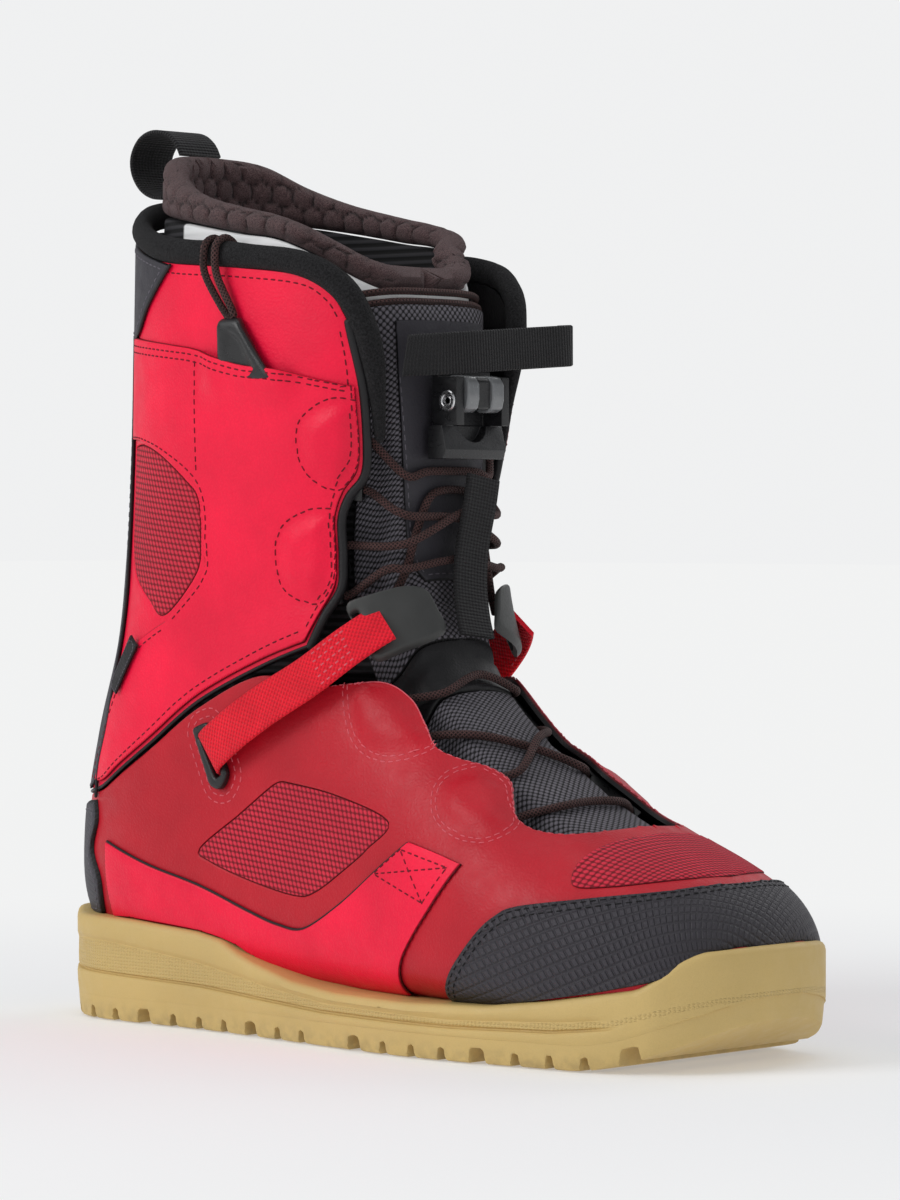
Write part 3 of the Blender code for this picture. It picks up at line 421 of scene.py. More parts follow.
def layer(name, finish, loops, low, high, grid=2.4, rings=(0.35, 0.9), rim=0.6, shape=None, both=False,
          pattern="side"):
    """Sheet on the last between two heights, with rounded edges and any shape on its outer face.

    A height is a number, or a function of station and turn. Rings are the distances from the edge at which
    the mesh gets its own rows of points, the rim is the radius of the rounding, and both rounds the inner
    edge off as well.
    """
    places, faces = triangles(loops, rings, grid)
    at = skin(places)
    _, first, same = np.unique(np.round(at, 3), axis=0, return_index=True, return_inverse=True)
    places, at, faces = places[first], at[first], same.reshape(-1)[faces]
    sides = np.sort(np.concatenate([faces[:, (0, 1)], faces[:, (1, 2)], faces[:, (2, 0)]]), axis=1)
    sides, counts = np.unique(sides, axis=0, return_counts=True)
    rim_sides = sides[counts == 1]
    starts, ends = at[rim_sides[:, 0]], at[rim_sides[:, 1]]
    edge = distances(at, tree_of(np.concatenate([starts * (1 - k / 6) + ends * k / 6 for k in range(6)])))
    low, high = on_places(low, places), on_places(high, places)
    drop = rim - np.sqrt(np.maximum(rim ** 2 - (rim - np.minimum(edge, rim)) ** 2, 0))
    relief = shape(places, at, edge) if shape else np.zeros(len(places))
    outer, inner = skin(places, high - drop + relief), skin(places, low + (drop - relief) * both)
    count = len(places)
    used = np.unique(faces)
    solid = [*faces, *(faces[:, ::-1] + count), *((a, b, b + count, a + count) for a, b in rim_sides)]
    if pattern == "side":
        marks = np.column_stack((at[:, 0], at[:, 2], at[:, 1]))
    else:
        by_station, _ = slopes(places)
        # the third part is the relief, which the pile material reads to paint shade into the quilting's
        # grooves
        marks = np.column_stack((places[:, 1] * half_round(places[:, 0]),
                                 places[:, 0] * np.linalg.norm(by_station, axis=1).mean(), relief))
    remap = np.full(2 * count, -1)
    keep = np.concatenate([used, used + count])
    remap[keep] = np.arange(len(keep))
    solid = [tuple(remap[i] for i in face) for face in solid]
    edges = np.concatenate([edge, edge if both else np.full(count, LINED)])
    points, marks = np.concatenate([outer, inner]), np.concatenate([marks, marks])
    return finished(name, points[keep], solid, finish, marks[keep], edges[keep])


def domes(*pods, high):
    """Shape of padded pods that swell between their seams."""
    ready = [(loop, tree_of(dense(loop))) for loop in pods]

    def shape(places, at, edge):
        lift = np.zeros(len(places))
        for loop, tree in ready:
            far = distances(at, tree)
            lift += inside(places, loop) * high * ramp(far, 0.0, 7.0) - 0.35 * np.exp(-((far / 0.7) ** 2))
        return lift * np.clip(edge / 2.5, 0, 1)
    return shape


# a direction that no path starts along
ANY_DIRECTION = (0.31, 0.2, 0.93)


def frames(path, cyclic=False, up=None):
    """Side and normal of every point of a path."""
    ahead = np.roll(path, -1, 0) - np.roll(path, 1, 0)
    if not cyclic:
        ahead[0], ahead[-1] = path[1] - path[0], path[-1] - path[-2]
    ahead /= np.linalg.norm(ahead, axis=1, keepdims=True)
    if up is None:
        side = np.cross(ahead[0], ANY_DIRECTION)
        sides = []
        for tangent in ahead:
            side = side - tangent * side.dot(tangent)
            side = side / np.linalg.norm(side)
            sides.append(side)
        sides = np.array(sides)
        if cyclic:
            back = sides[-1] - ahead[0] * sides[-1].dot(ahead[0])
            twist = math.atan2(np.cross(back, sides[0]).dot(ahead[0]), back.dot(sides[0]))
            angles = twist * np.arange(len(path)) / len(path)
            sides = (sides * np.cos(angles)[:, None] + np.cross(ahead, sides) * np.sin(angles)[:, None])
    else:
        up = np.broadcast_to(np.asarray(up, float), path.shape)
        sides = np.cross(ahead, up)
        sides /= np.linalg.norm(sides, axis=1, keepdims=True)
    return sides, np.cross(sides, ahead)


# how far out of a rounded tip its sections lie, and how large they are
TIP = ((0.5, 0.87), (0.85, 0.55), (1.0, 0.12))


def rounded_tips(path, up, reach):
    """Path with both tips drawn out by a length, its normals, and the scale of the section along it."""
    back, ahead = unit(path[0] - path[1]), unit(path[-1] - path[-2])
    before = [path[0] + back * reach * part for part, _ in reversed(TIP)]
    after = [path[-1] + ahead * reach * part for part, _ in TIP]
    sizes = [size for _, size in TIP]
    scale = np.concatenate([sizes[::-1], np.ones(len(path)), sizes])
    if up is not None:
        up = np.concatenate([up[:1]] * len(TIP) + [up] + [up[-1:]] * len(TIP))
    return np.concatenate([before, path, after]), up, scale


def sweep(name, finish, path, section, cyclic=False, up=None, ends=0.0, relief=None):
    """Section pushed along a path; ends rounds both tips off by that length."""
    path, section = np.array(path, float), np.array(section, float)
    scale = np.ones(len(path))
    if ends:
        path, up, scale = rounded_tips(path, up, ends)
    side, normal = frames(path, cyclic, up)
    length = way_along(path)
    count = len(section)
    round_steps = np.linalg.norm(np.roll(section, -1, 0) - section, axis=1)
    way = np.concatenate([[0], np.cumsum(round_steps)[:-1]])
    points, marks = [], []
    for index, point in enumerate(path):
        grow = scale[index] * (np.ones(count) if relief is None else relief(length[index], way))
        points.append(point + side[index] * (section[:, :1] * grow[:, None])
                      + normal[index] * (section[:, 1:] * grow[:, None]))
        marks.append(np.column_stack((way, np.full(count, length[index]), np.zeros(count))))
    faces = []
    rows = len(path)
    for row in range(rows if cyclic else rows - 1):
        after = (row + 1) % rows
        for step in range(count):
            wrap = (step + 1) % count
            faces.append((row * count + step, row * count + wrap, after * count + wrap, after * count + step))
    if not cyclic:
        faces.append(tuple(range(count)))
        faces.append(tuple(range((rows - 1) * count, rows * count)))
    return finished(name, np.concatenate(points), faces, finish, np.concatenate(marks))


def circle(radius, sides):
    angles = WHOLE_TURN * np.arange(sides) / sides
    return np.column_stack((radius * np.cos(angles), radius * np.sin(angles)))


WEBBING = 1.5


def strap_section(width):
    """Cross section of webbing: a thin bar with rounded edges, split into narrow columns."""
    half = width / 2 - 0.45
    columns = int(width / 1.6)
    top = [(-half + 2 * half * k / columns, WEBBING / 2) for k in range(columns + 1)]
    bottom = [(x, -y) for x, y in reversed(top)]
    right = [(width / 2 - 0.12, WEBBING / 4), (width / 2, 0), (width / 2 - 0.12, -WEBBING / 4)]
    left = [(-x, -y) for x, y in right]
    return [*top, *right, *bottom, *left]


# half the chord over which a stitch's direction is taken
STITCH_REACH = 1.1
STITCH_SIDES = 6


def stitch_shape(length, thick):
    """Points of one stitch along X, with its ends sunk into the cloth, and its faces."""
    ring = circle(thick / 2, STITCH_SIDES)
    sections = ((-1, 0.4, -0.2), (-0.7, 1, 0), (0.7, 1, 0), (1, 0.4, -0.2))
    points = [(t * length / 2, y * size, z * size + lift) for t, size, lift in sections for y, z in ring]
    faces = [tuple(range(STITCH_SIDES)), tuple(range(len(points) - 1, len(points) - 1 - STITCH_SIDES, -1))]
    for start in range(0, len(points) - STITCH_SIDES, STITCH_SIDES):
        for i in range(STITCH_SIDES):
            a, b = start + i, start + (i + 1) % STITCH_SIDES
            faces.append((a, b, b + STITCH_SIDES, a + STITCH_SIDES))
    return np.array(points), faces


def sew(name, body, finish, on, runs, pitch=3.2, length=2.2, thick=0.5):
    """Rows of stitches along lines of points, laid on the pieces that they sew."""
    tree = tree_of_pieces(on)
    template, shell = stitch_shape(length, thick)
    made, faces = [], []
    for run in runs:
        way = way_along(run)
        for at in np.arange(pitch / 2, way[-1], pitch):
            start, end = (np.array([np.interp(at + reach, way, run[:, axis]) for axis in range(3)])
                          for reach in (-STITCH_REACH, STITCH_REACH))
            if np.linalg.norm(end - start) < 1.2:
                continue
            found, normal, _, far = tree.find_nearest(Vector((start + end) / 2))
            if found is None or far > 4:
                continue
            normal = np.array(normal)
            ahead = end - start
            ahead = unit(ahead - normal * ahead.dot(normal))
            first = len(template) * len(made)
            made.append(np.array(found) + template @ np.array((ahead, np.cross(normal, ahead), normal)))
            faces += [tuple(first + i for i in face) for face in shell]
    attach(finished(name, np.concatenate(made), faces, finish, sharp=80), body)


def lines(loops, distance, out=1.5):
    """Closed lines of points inside closed loops."""
    made = []
    for loop in loops:
        ring = inset(loop, distance)
        if len(ring) > 3:
            ring = np.concatenate([ring, ring[:1]])
            made.append(skin(ring, out))
    return split_gaps(made)


def split_gaps(runs, gap=6.0):
    """Runs cut where two points lie too far apart."""
    made = []
    for run in runs:
        cuts = np.where(np.linalg.norm(np.diff(run, axis=0), axis=1) > gap)[0] + 1
        made += [part for part in np.split(run, cuts) if len(part) > 2]
    return made


def softened(name, finish, node, bevel, segments=2):
    """Copy of a CAD node with its flat faces joined and its edges rounded."""
    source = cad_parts[node]
    mesh = source.data.copy()
    mesh.name = name
    mesh.transform(source.matrix_world)
    bm = bmesh.new()
    bm.from_mesh(mesh)
    bmesh.ops.remove_doubles(bm, verts=bm.verts, dist=1e-6)
    bmesh.ops.dissolve_limit(bm, angle_limit=math.radians(2), verts=bm.verts, edges=bm.edges)
    steep = math.radians(35)
    edges = [edge for edge in bm.edges if edge.is_manifold and edge.calc_face_angle() > steep]
    bmesh.ops.bevel(bm, geom=edges, offset=bevel * MM, segments=segments, profile=0.6, affect="EDGES",
                    clamp_overlap=True)
    bmesh.ops.triangulate(bm, faces=[face for face in bm.faces if len(face.verts) > 4])
    bm.to_mesh(mesh)
    bm.free()
    mesh.materials.clear()
    points = np.array([vertex.co[:] for vertex in mesh.vertices]) / MM
    faces = [tuple(polygon.vertices) for polygon in mesh.polygons]
    bpy.data.meshes.remove(mesh)
    made = finished(name, points, faces, finish, sharp=40)
    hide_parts(node)
    return made


def stand_in(piece, body, *nodes):
    """Puts a piece on a body in the place of CAD nodes."""
    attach(piece, body)
    if nodes:
        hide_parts(*nodes)
    return piece


# --- materials --------------------------------------------------------------------------------------

LOOKS = {}


def linear(red, green, blue):
    """Linear colour of an sRGB one in 0 to 255."""
    parts = [value / 255 for value in (red, green, blue)]
    return (*(p / 12.92 if p <= 0.04045 else ((p + 0.055) / 1.055) ** 2.4 for p in parts), 1.0)


def shade(colour, factor):
    return (*(min(part * factor, 1.0) for part in colour[:3]), 1.0)


def add(tree, kind, inputs=None, **settings):
    """Node with its settings; each input is a value or the output that feeds it."""
    made = tree.nodes.new("ShaderNode" + kind)
    for label, value in settings.items():
        setattr(made, label, value)
    for label, value in (inputs or {}).items():
        if isinstance(value, bpy.types.NodeSocket):
            tree.links.new(value, made.inputs[label])
        else:
            made.inputs[label].default_value = value
    return made


class Look:
    """Material in the making; its spot is the place in the object in millimetres."""

    def __init__(self, name, roughness, **sockets):
        LOOKS[name] = bpy.data.materials.new(name)
        LOOKS[name].use_nodes = True
        self.tree = LOOKS[name].node_tree
        self.shader = self.tree.nodes["Principled BSDF"]
        self.shader.inputs["Roughness"].default_value = roughness
        for label, value in sockets.items():
            self.shader.inputs[label.replace("_", " ")].default_value = value
        metres = self.add("TexCoord").outputs["Object"]
        self.spot = self.add("VectorMath", {0: metres, "Scale": 1000.0}, operation="SCALE").outputs[0]

    def add(self, kind, inputs=None, **settings):
        return add(self.tree, kind, inputs, **settings)

    def feed(self, colour, roughness=None):
        """Gives the shader a colour, and a roughness that varies."""
        self.tree.links.new(colour, self.shader.inputs["Base Color"])
        if roughness is not None:
            self.tree.links.new(roughness, self.shader.inputs["Roughness"])

    def bump(self, height, depth):
        normal = self.add("Bump", {"Height": height, "Strength": 1.0, "Distance": depth * MM})
        self.tree.links.new(normal.outputs["Normal"], self.shader.inputs["Normal"])

    def math(self, operation, *values):
        return self.add("Math", dict(enumerate(values)), operation=operation).outputs[0]

    def times(self, first, second):
        return self.math("MULTIPLY", first, second)

    def sum(self, first, second, factor=1.0):
        return self.math("ADD", first, self.times(second, factor))

    def wave(self, value, pitch):
        return self.math("SINE", self.times(value, WHOLE_TURN / pitch))

    def moved(self, operation, vector, by):
        return self.add("VectorMath", {0: vector, 1: by}, operation=operation).outputs[0]

    def axes(self, vector):
        return self.add("SeparateXYZ", {0: vector}).outputs

    def spread(self, value, low, high, to_low=0.0, to_high=1.0):
        inputs = {"Value": value, "From Min": low, "From Max": high, "To Min": to_low, "To Max": to_high}
        return self.add("MapRange", inputs).outputs["Result"]

    def mix(self, part, first, second):
        return self.add("MixRGB", {"Fac": part, "Color1": first, "Color2": second}).outputs["Color"]

    def noise(self, scale, detail=2.0, spot=None):
        spot = self.spot if spot is None else spot
        return self.add("TexNoise", {"Vector": spot, "Scale": scale, "Detail": detail}).outputs["Fac"]

    def cells(self, spot, scale=1.0, randomness=1.0, **settings):
        inputs = {"Vector": spot, "Scale": scale, "Randomness": randomness}
        return self.add("TexVoronoi", inputs, **settings).outputs["Distance"]

    def tiles(self, place, **settings):
        """Distance from the middle of the regular cells of a pattern."""
        return self.cells(place, randomness=0.0, voronoi_dimensions="2D", **settings)

    def pattern(self, turn=0.0, cell=(1.0, 1.0)):
        """Pattern coordinates of the piece, turned and divided into cells."""
        flat = self.add("Attribute", attribute_name="pattern").outputs["Vector"]
        inputs = {"Vector": flat, "Angle": math.radians(turn)}
        turned = self.add("VectorRotate", inputs, rotation_type="Z_AXIS")
        return self.moved("MULTIPLY", turned.outputs[0], (1 / cell[0], 1 / cell[1], 1.0))

    def edge(self):
        """Distance from the piece's edge; below 0 on its inner face."""
        return self.add("Attribute", attribute_name="edge").outputs["Fac"]

    def mottled(self, colour, low=0.86, high=1.08, scale=0.035):
        """Colour that drifts a little over the piece."""
        drift = self.spread(self.noise(scale, 3.0), 0.3, 0.7)
        return self.mix(drift, shade(colour, low), shade(colour, high))

    def cut_edge(self, colour, edge_colour):
        """Colour with the cut edge of the material along its rim, and black lining on its inner face."""
        edge = self.edge()
        rim = self.mix(self.spread(edge, 0.12, 0.32), edge_colour, colour)
        return self.mix(self.spread(edge, -0.6, -1.6), rim, LINING)


def leather(name, colour, edge_colour, roughness=0.42):
    """Grained leather, a little paler where its edges are worn."""
    look = Look(name, roughness, Specular_IOR_Level=0.28)
    cells = look.cells(look.spot, 1.3, feature="SMOOTH_F1")
    pores = look.times(look.spread(cells, 0.15, 0.55), 0.10)
    base = look.mix(pores, look.mottled(colour), shade(colour, 0.55))
    patches = look.spread(look.noise(0.5, 4.0), 0.52, 0.7, 0.0, 0.22)
    worn = look.times(look.spread(look.edge(), 1.6, 0.5), patches)
    base = look.mix(worn, base, shade(colour, 1.5))
    dullness = look.spread(look.noise(0.18, 4.0), 0.3, 0.7, roughness - 0.06, roughness + 0.09)
    look.feed(look.cut_edge(base, edge_colour), dullness)
    grain = look.sum(cells, look.noise(5.0, 3.0), 0.5)
    look.bump(look.sum(grain, look.noise(0.11), 1.6), 0.10)


def lattice_cloth(name, colour, gap_colour, edge_colour, cell, turn=38, depth=0.45):
    """Woven cloth of staggered oval knots."""
    look = Look(name, 0.75, Sheen_Weight=0.03, Specular_IOR_Level=0.3)
    place = look.pattern(turn, cell)
    between = look.moved("ADD", place, (0.5, 0.5, 0.0))
    far = look.math("MINIMUM", look.tiles(place), look.tiles(between))
    knot = look.spread(far, 0.42, 0.12)
    base = look.mix(look.spread(knot, 0.75, 0.15), look.mottled(colour, 0.85, 1.1), gap_colour)
    look.feed(look.cut_edge(base, edge_colour))
    look.bump(look.sum(knot, look.noise(6.0), 0.35), depth)


def ribbed(name, colour, pitch=1.15, row=1.5, grid=False):
    """Webbing: ribs across its length, with the weave's rows along it."""
    look = Look(name, 0.7, Sheen_Weight=0.03, Specular_IOR_Level=0.3)
    place = look.axes(look.pattern())
    across, along = look.wave(place["Y"], pitch), look.wave(place["X"], row)
    weave = look.times(across, along) if grid else look.sum(across, along, 0.3)
    base = look.mottled(colour, 0.85, 1.12, 0.09)
    look.feed(look.mix(look.spread(weave, 0.1, -0.9, 0.0, 0.6), base, shade(colour, 0.45)))
    look.bump(look.sum(weave, look.noise(7.0), 0.5), 0.28)


def moulded(name, colour, roughness, speckle=0.05, coat=0.0):
    """Moulded plastic or foam with a fine spark-eroded texture and faint scratches."""
    look = Look(name, roughness, Coat_Weight=coat)
    scratch = look.noise(0.9, 5.0, look.moved("MULTIPLY", look.spot, (0.3, 3.0, 1.0)))
    base = look.mottled(colour, 0.9, 1.15, 0.12)
    base = look.mix(look.spread(scratch, 0.62, 0.75, 0.0, 0.25), base, shade(colour, 1.8))
    look.feed(base, look.spread(scratch, 0.3, 0.75, roughness - 0.05, roughness + 0.18))
    look.bump(look.noise(4.5), speckle)


def pile(name, colour, light, depth, scale, sheen):
    """Fleece or plush: a soft pile of short fibres, with painted shade in the grooves of its relief."""
    look = Look(name, 0.95, Sheen_Weight=sheen, Sheen_Roughness=0.6, Specular_IOR_Level=0.1)
    tufts, fibres = look.noise(scale, 4.0), look.noise(6.0, 3.0)
    base = look.mix(look.spread(look.sum(tufts, fibres, 0.5), 0.55, 0.95), colour, light)
    relief = look.axes(look.pattern())["Z"]
    # painted shade: the colour darkens to a third where the relief sinks into a groove
    look.feed(look.mix(look.spread(relief, -0.15, -0.95, 0.0, 0.75), base, shade(colour, 0.3)))
    look.bump(look.sum(tufts, fibres, 0.6), depth)


def braided(name, colour, dark):
    """Round braid: two sets of strands that cross at a slant."""
    look = Look(name, 0.75, Sheen_Weight=0.03, Specular_IOR_Level=0.25)
    place = look.axes(look.pattern())
    round_ = look.times(place["X"], WHOLE_TURN / 1.46)
    waves = [look.math("SINE", look.sum(round_, place["Y"], slant)) for slant in (-4.6, 4.6)]
    strand = look.math("MAXIMUM", *waves)
    look.feed(look.mix(look.spread(strand, -0.2, 0.8), dark, look.mottled(colour, 0.8, 1.2, 0.2)))
    look.bump(look.sum(strand, look.noise(6.0), 0.4), 0.22)


def gum(name, colour):
    """Gum rubber: a dotted band where the edge attribute is 0, and a little dirt near the ground."""
    look = Look(name, 0.55)
    grains = look.spread(look.noise(2.2, 4.0), 0.45, 0.75)
    base = look.mix(look.times(grains, 0.18), look.mottled(colour, 0.93, 1.05, 0.02), shade(colour, 0.72))
    low = look.spread(look.axes(look.spot)["Z"], 7.0, 0.0, 0.0, 0.5)
    dirt = look.times(low, look.spread(look.noise(0.25, 5.0), 0.4, 0.7))
    base = look.mix(dirt, base, linear(128, 108, 74))
    look.feed(base, look.spread(look.noise(0.2, 3.0), 0.3, 0.7, 0.46, 0.66))
    dots = look.spread(look.tiles(look.pattern(0, (1.5, 1.1))), 0.45, 0.15)
    dots = look.times(dots, look.spread(look.edge(), 3.0, 0.5))
    grain = look.sum(look.noise(4.0), look.noise(0.3), 1.5)
    look.bump(look.sum(grain, dots, 3.0), 0.09)


def embossed(name, colour, edge_colour, size, roughness, depth):
    """Leather pressed with a raised diamond grid, with a painted highlight on the raised studs."""
    look = Look(name, roughness, Specular_IOR_Level=0.4)
    stud = look.spread(look.tiles(look.pattern(45, (size, size)), distance="CHEBYCHEV"), 0.46, 0.28)
    # painted highlight: the raised studs are coloured up to about a sixth lighter than the grooves between
    # them
    base = look.mix(look.times(stud, 0.25), look.mottled(colour), shade(colour, 1.7))
    look.feed(look.cut_edge(base, edge_colour))
    look.bump(look.sum(stud, look.noise(5.0, 3.0), 0.3), depth)


def metal(name, colour):
    """Brushed metal."""
    look = Look(name, 0.25, Metallic=1.0)
    streaks = look.noise(1.2, 3.0, look.moved("MULTIPLY", look.spot, (1.0, 8.0, 1.0)))
    base = look.mix(look.spread(streaks, 0.3, 0.7), shade(colour, 0.8), colour)
    look.feed(base, look.spread(streaks, 0.3, 0.7, 0.18, 0.34))
    look.bump(streaks, 0.02)


def board(name, colour, dark):
    """Pressed fibre board."""
    look = Look(name, 0.85, Sheen_Weight=0.1)
    fibres = look.cells(look.spot, 1 / 1.3, 0.35)
    look.feed(look.mix(look.spread(fibres, 0.35, 0.75, 0.0, 0.5), look.mottled(colour, 0.92, 1.04), dark))
    look.bump(look.sum(fibres, look.noise(5.0), 0.3), 0.18)


def liner_cloth(name):
    """Liner's wall: smooth white round the top in front, black ribbed knit behind and below."""
    look = Look(name, 0.8, Specular_IOR_Level=0.3)
    place = look.axes(look.spot)
    ribs = look.math("SINE", look.times(place["Z"], 2.4))
    knit = look.mix(look.spread(ribs, -0.4, 0.7), linear(14, 14, 15), linear(52, 51, 54))
    white = look.times(look.spread(place["Z"], 238.0, 239.0), look.spread(place["X"], -74.5, -73.5))
    white = look.times(white, look.spread(look.edge(), -1.6, -0.6))
    look.feed(look.mix(white, knit, look.mottled(linear(236, 236, 236), 0.95, 1.02)))
    look.bump(look.sum(look.noise(3.0, 3.0), ribs, 0.5), 0.12)


BLACK = linear(18, 17, 18)
LINING = linear(22, 20, 22)


def make_looks():
    leather("bright_red", linear(248, 14, 62), linear(130, 8, 26))
    leather("dark_red", linear(192, 22, 40), linear(96, 12, 20), roughness=0.4)
    leather("black_leather", linear(30, 29, 31), linear(15, 15, 16), roughness=0.45)
    leather("warm_grey", linear(56, 54, 60), linear(24, 24, 26), roughness=0.5)
    threads = {"dark": (112, 12, 32), "pink": (222, 100, 112), "grey": (104, 100, 108), "black": (16, 16, 18)}
    for name, colour in threads.items():
        leather(f"thread_{name}", linear(*colour), linear(*colour), roughness=0.7)
    lattice_cloth("red_mesh", linear(224, 46, 70), linear(120, 8, 26), linear(110, 8, 22), (3.4, 2.2))
    lattice_cloth("tongue_mesh", linear(116, 112, 120), linear(16, 15, 17), BLACK, (3.2, 2.0), turn=0,
                  depth=0.5)
    ribbed("red_webbing", linear(244, 16, 44), pitch=1.9, row=1.9, grid=True)
    ribbed("black_webbing", linear(32, 31, 33))
    moulded("black_plastic", linear(24, 24, 26), 0.28)
    moulded("guide_plastic", linear(20, 20, 22), 0.3)
    moulded("lock_grey", linear(112, 114, 116), 0.15, coat=0.5)
    moulded("plate_grey", linear(52, 53, 52), 0.42)
    moulded("foam", linear(84, 84, 88), 0.9, speckle=0.3)
    embossed("toe_grey", linear(50, 47, 53), BLACK, size=2.7, roughness=0.5, depth=0.55)
    embossed("heel_grey", linear(60, 58, 64), BLACK, size=1.6, roughness=0.55, depth=0.15)
    pile("fleece_black", linear(14, 14, 15), linear(46, 45, 47), depth=0.6, scale=1.5, sheen=0.05)
    pile("fleece_brown", linear(54, 36, 38), linear(112, 86, 86), depth=0.7, scale=2.4, sheen=0.15)
    liner_cloth("liner_foam")
    board("board", linear(168, 150, 126), linear(120, 104, 84))
    braided("brown", linear(82, 56, 54), linear(24, 14, 14))
    gum("gum", linear(206, 177, 112))
    metal("steel", linear(214, 214, 216))


# --- studio -----------------------------------------------------------------------------------------

def camera():
    data = bpy.data.cameras.new("camera")
    data.lens = 144.15
    data.sensor_width = 36
    made = bpy.data.objects.new("camera", data)
    made.location = (1.0706, -1.1890, 0.171)
    aim = Vector((0.00594, 0.00535, 0.1447)) - made.location
    made.rotation_euler = aim.to_track_quat("-Z", "Y").to_euler()
    bpy.context.scene.collection.objects.link(made)
    bpy.context.scene.camera = made


def soft_light(name, spot, size, power, aim=(0, 0, 0.12)):
    data = bpy.data.lights.new(name, "AREA")
    data.shape = "RECTANGLE"
    data.size, data.size_y = size
    data.energy = power
    made = bpy.data.objects.new(name, data)
    made.location = spot
    made.rotation_euler = (Vector(aim) - Vector(spot)).to_track_quat("-Z", "Y").to_euler()
    bpy.context.scene.collection.objects.link(made)


def backdrop():
    """Pale surroundings: seen bright, while they light the boot more softly than the lamps do."""
    world = bpy.data.worlds.new("studio")
    world.use_nodes = True
    tree = world.node_tree
    seen = tree.nodes["Background"]
    seen.inputs["Color"].default_value = (0.87, 0.875, 0.88, 1)
    lighting = add(tree, "Background", {"Color": (0.95, 0.97, 1.0, 1), "Strength": 0.42})
    ray = add(tree, "LightPath").outputs["Is Camera Ray"]
    mixed = add(tree, "MixShader", {0: ray, 1: lighting.outputs[0], 2: seen.outputs[0]})
    tree.links.new(mixed.outputs[0], tree.nodes["World Output"].inputs["Surface"])
    bpy.context.scene.world = world


def floor():
    bm = bmesh.new()
    bmesh.ops.create_grid(bm, x_segments=24, y_segments=24, size=14)
    mesh = bpy.data.meshes.new("floor")
    bm.to_mesh(mesh)
    bm.free()
    made = bpy.data.objects.new("floor", mesh)
    made.location.z = -0.0004
    look = Look("paper", 0.8, Emission_Strength=0.30, Emission_Color=(1, 1, 1, 1))
    look.feed(look.mix(look.noise(0.002), (0.64, 0.645, 0.65, 1), (0.67, 0.675, 0.68, 1)))
    metres = look.add("TexCoord").outputs["Object"]
    far = look.add("VectorMath", {0: metres}, operation="LENGTH").outputs["Value"]
    limits = {"Value": far, "From Min": 0.2, "From Max": 0.62}
    far = look.add("MapRange", limits, interpolation_type="SMOOTHSTEP").outputs["Result"]
    plain = look.add("Emission", {"Color": (0.885, 0.89, 0.89, 1)})
    mixed = look.add("MixShader", {0: far, 1: look.shader.outputs[0], 2: plain.outputs[0]})
    look.tree.links.new(mixed.outputs[0], look.tree.nodes["Material Output"].inputs["Surface"])
    mesh.materials.append(LOOKS["paper"])
    bpy.context.scene.collection.objects.link(made)


def studio():
    bpy.context.scene.view_settings.view_transform = "Standard"
    backdrop()
    floor()
    soft_light("key", (-0.75, -1.7, 1.15), (1.1, 1.1), 19.5)
    soft_light("top", (0.0, -0.1, 1.9), (1.4, 1.4), 6)
    soft_light("fill", (2.0, -0.5, 0.7), (0.9, 1.3), 2.2)
    soft_light("rim", (0.1, 1.9, 1.2), (1.2, 1.2), 6)


# --- upper ------------------------------------------------------------------------------------------

HEM = ((-142.5, 76), (-128, 78), (-118, 80), (-106, 86), (-88, 96), (-65, 110.5), (-37, 122.5), (-16, 130))
FLAP = ((-16, 130), (-11, 140), (-5.5, 149), (-5, 159), (-5, 171), (-2, 179), (3, 186), (5, 197), (6, 212),
        (5.5, 224), (4, 236))
COLLAR = ((4, 236), (-1, 245), (-12, 251.5), (-40, 255), (-74, 258), (-97, 264.5), (-115, 271))
THROAT = ((95.5, 74.3), (91, 72.6), (86, 72.2), (78, 73.6), (71, 77), (66, 82), (60, 88), (52, 92.3),
          (43, 95),
          (35, 98.5), (28, 106), (21, 113.5), (12, 118.6), (0, 118), (-15, 116))
THROAT_BACK = ((-15, 116), (-37, 119.8), (-65, 108.6), (-88, 94.4), (-106, 84.6), (-118, 78.8), (-128, 77),
               (-142.5, 75))
SIDE_VENT = ((-25, 85), (0, 81.5), (25.5, 74), (17, 65), (6, 57.5), (-8, 49.5), (-18, 47.8), (-40, 51.5),
             (-60, 57), (-64.5, 61), (-46, 73), (-30, 83.5))
REAR_VENT = ((-103, 196), (-103, 159), (-89, 144), (-80, 139.5), (-64, 153.5), (-61, 165), (-61, 178),
             (-66, 184), (-79, 192.5), (-92, 196.5))
RAND_TOP = ((-114, 61.5), (-90, 54.5), (-65, 49), (-40, 41.5), (-26, 38), (-13, 37.5), (4.5, 46), (21, 57),
            (37, 68))
RAND_TAB = ((37, 68), (50, 65), (61, 62))
RAND_FRONT = ((61, 62), (50, 48), (42, 38.5), (36, 30), (31, 18.6))
RIM_LOW = ((31, 18.6), (6, 18.8), (-17, 20.8), (-41, 26.3), (-50, 30.3), (-68, 33.8), (-100, 35.8),
           (-114, 35.6))
RAND_BACK = ((-114, 35.6), (-115, 48), (-114, 61.5))
CAP_EDGE = ((52.5, 18.6), (60, 29), (71, 41), (78, 46.6), (86, 50), (111, 53.3), (127, 55), (134, 56.6))
PANEL_FRONT = ((-18, 131), (-13, 139.5), (-7.5, 149), (-7, 159), (-7, 171), (-3.6, 180), (1.2, 187),
               (3.2, 197),
               (4, 214.5))
PANEL_TOP = ((4, 214.5), (-5.5, 216.8), (-16, 219.3), (-26, 221), (-37, 222.6), (-57, 228), (-70, 230),
             (-104, 234))
PANEL_REAR = ((-104, 234), (-104, 199))
PANEL_VENT = ((-104, 199), (-92, 198), (-78, 194), (-64, 186), (-59, 178), (-59, 165), (-61, 152.5),
              (-79, 137.3))
PANEL_HEEL = ((-79, 137.3), (-95, 130), (-106, 120), (-118, 103), (-130, 83))
PANEL_HEM = ((-130, 83), (-118, 82), (-106, 88), (-88, 98), (-65, 112.5), (-37, 124.5), (-18, 131))
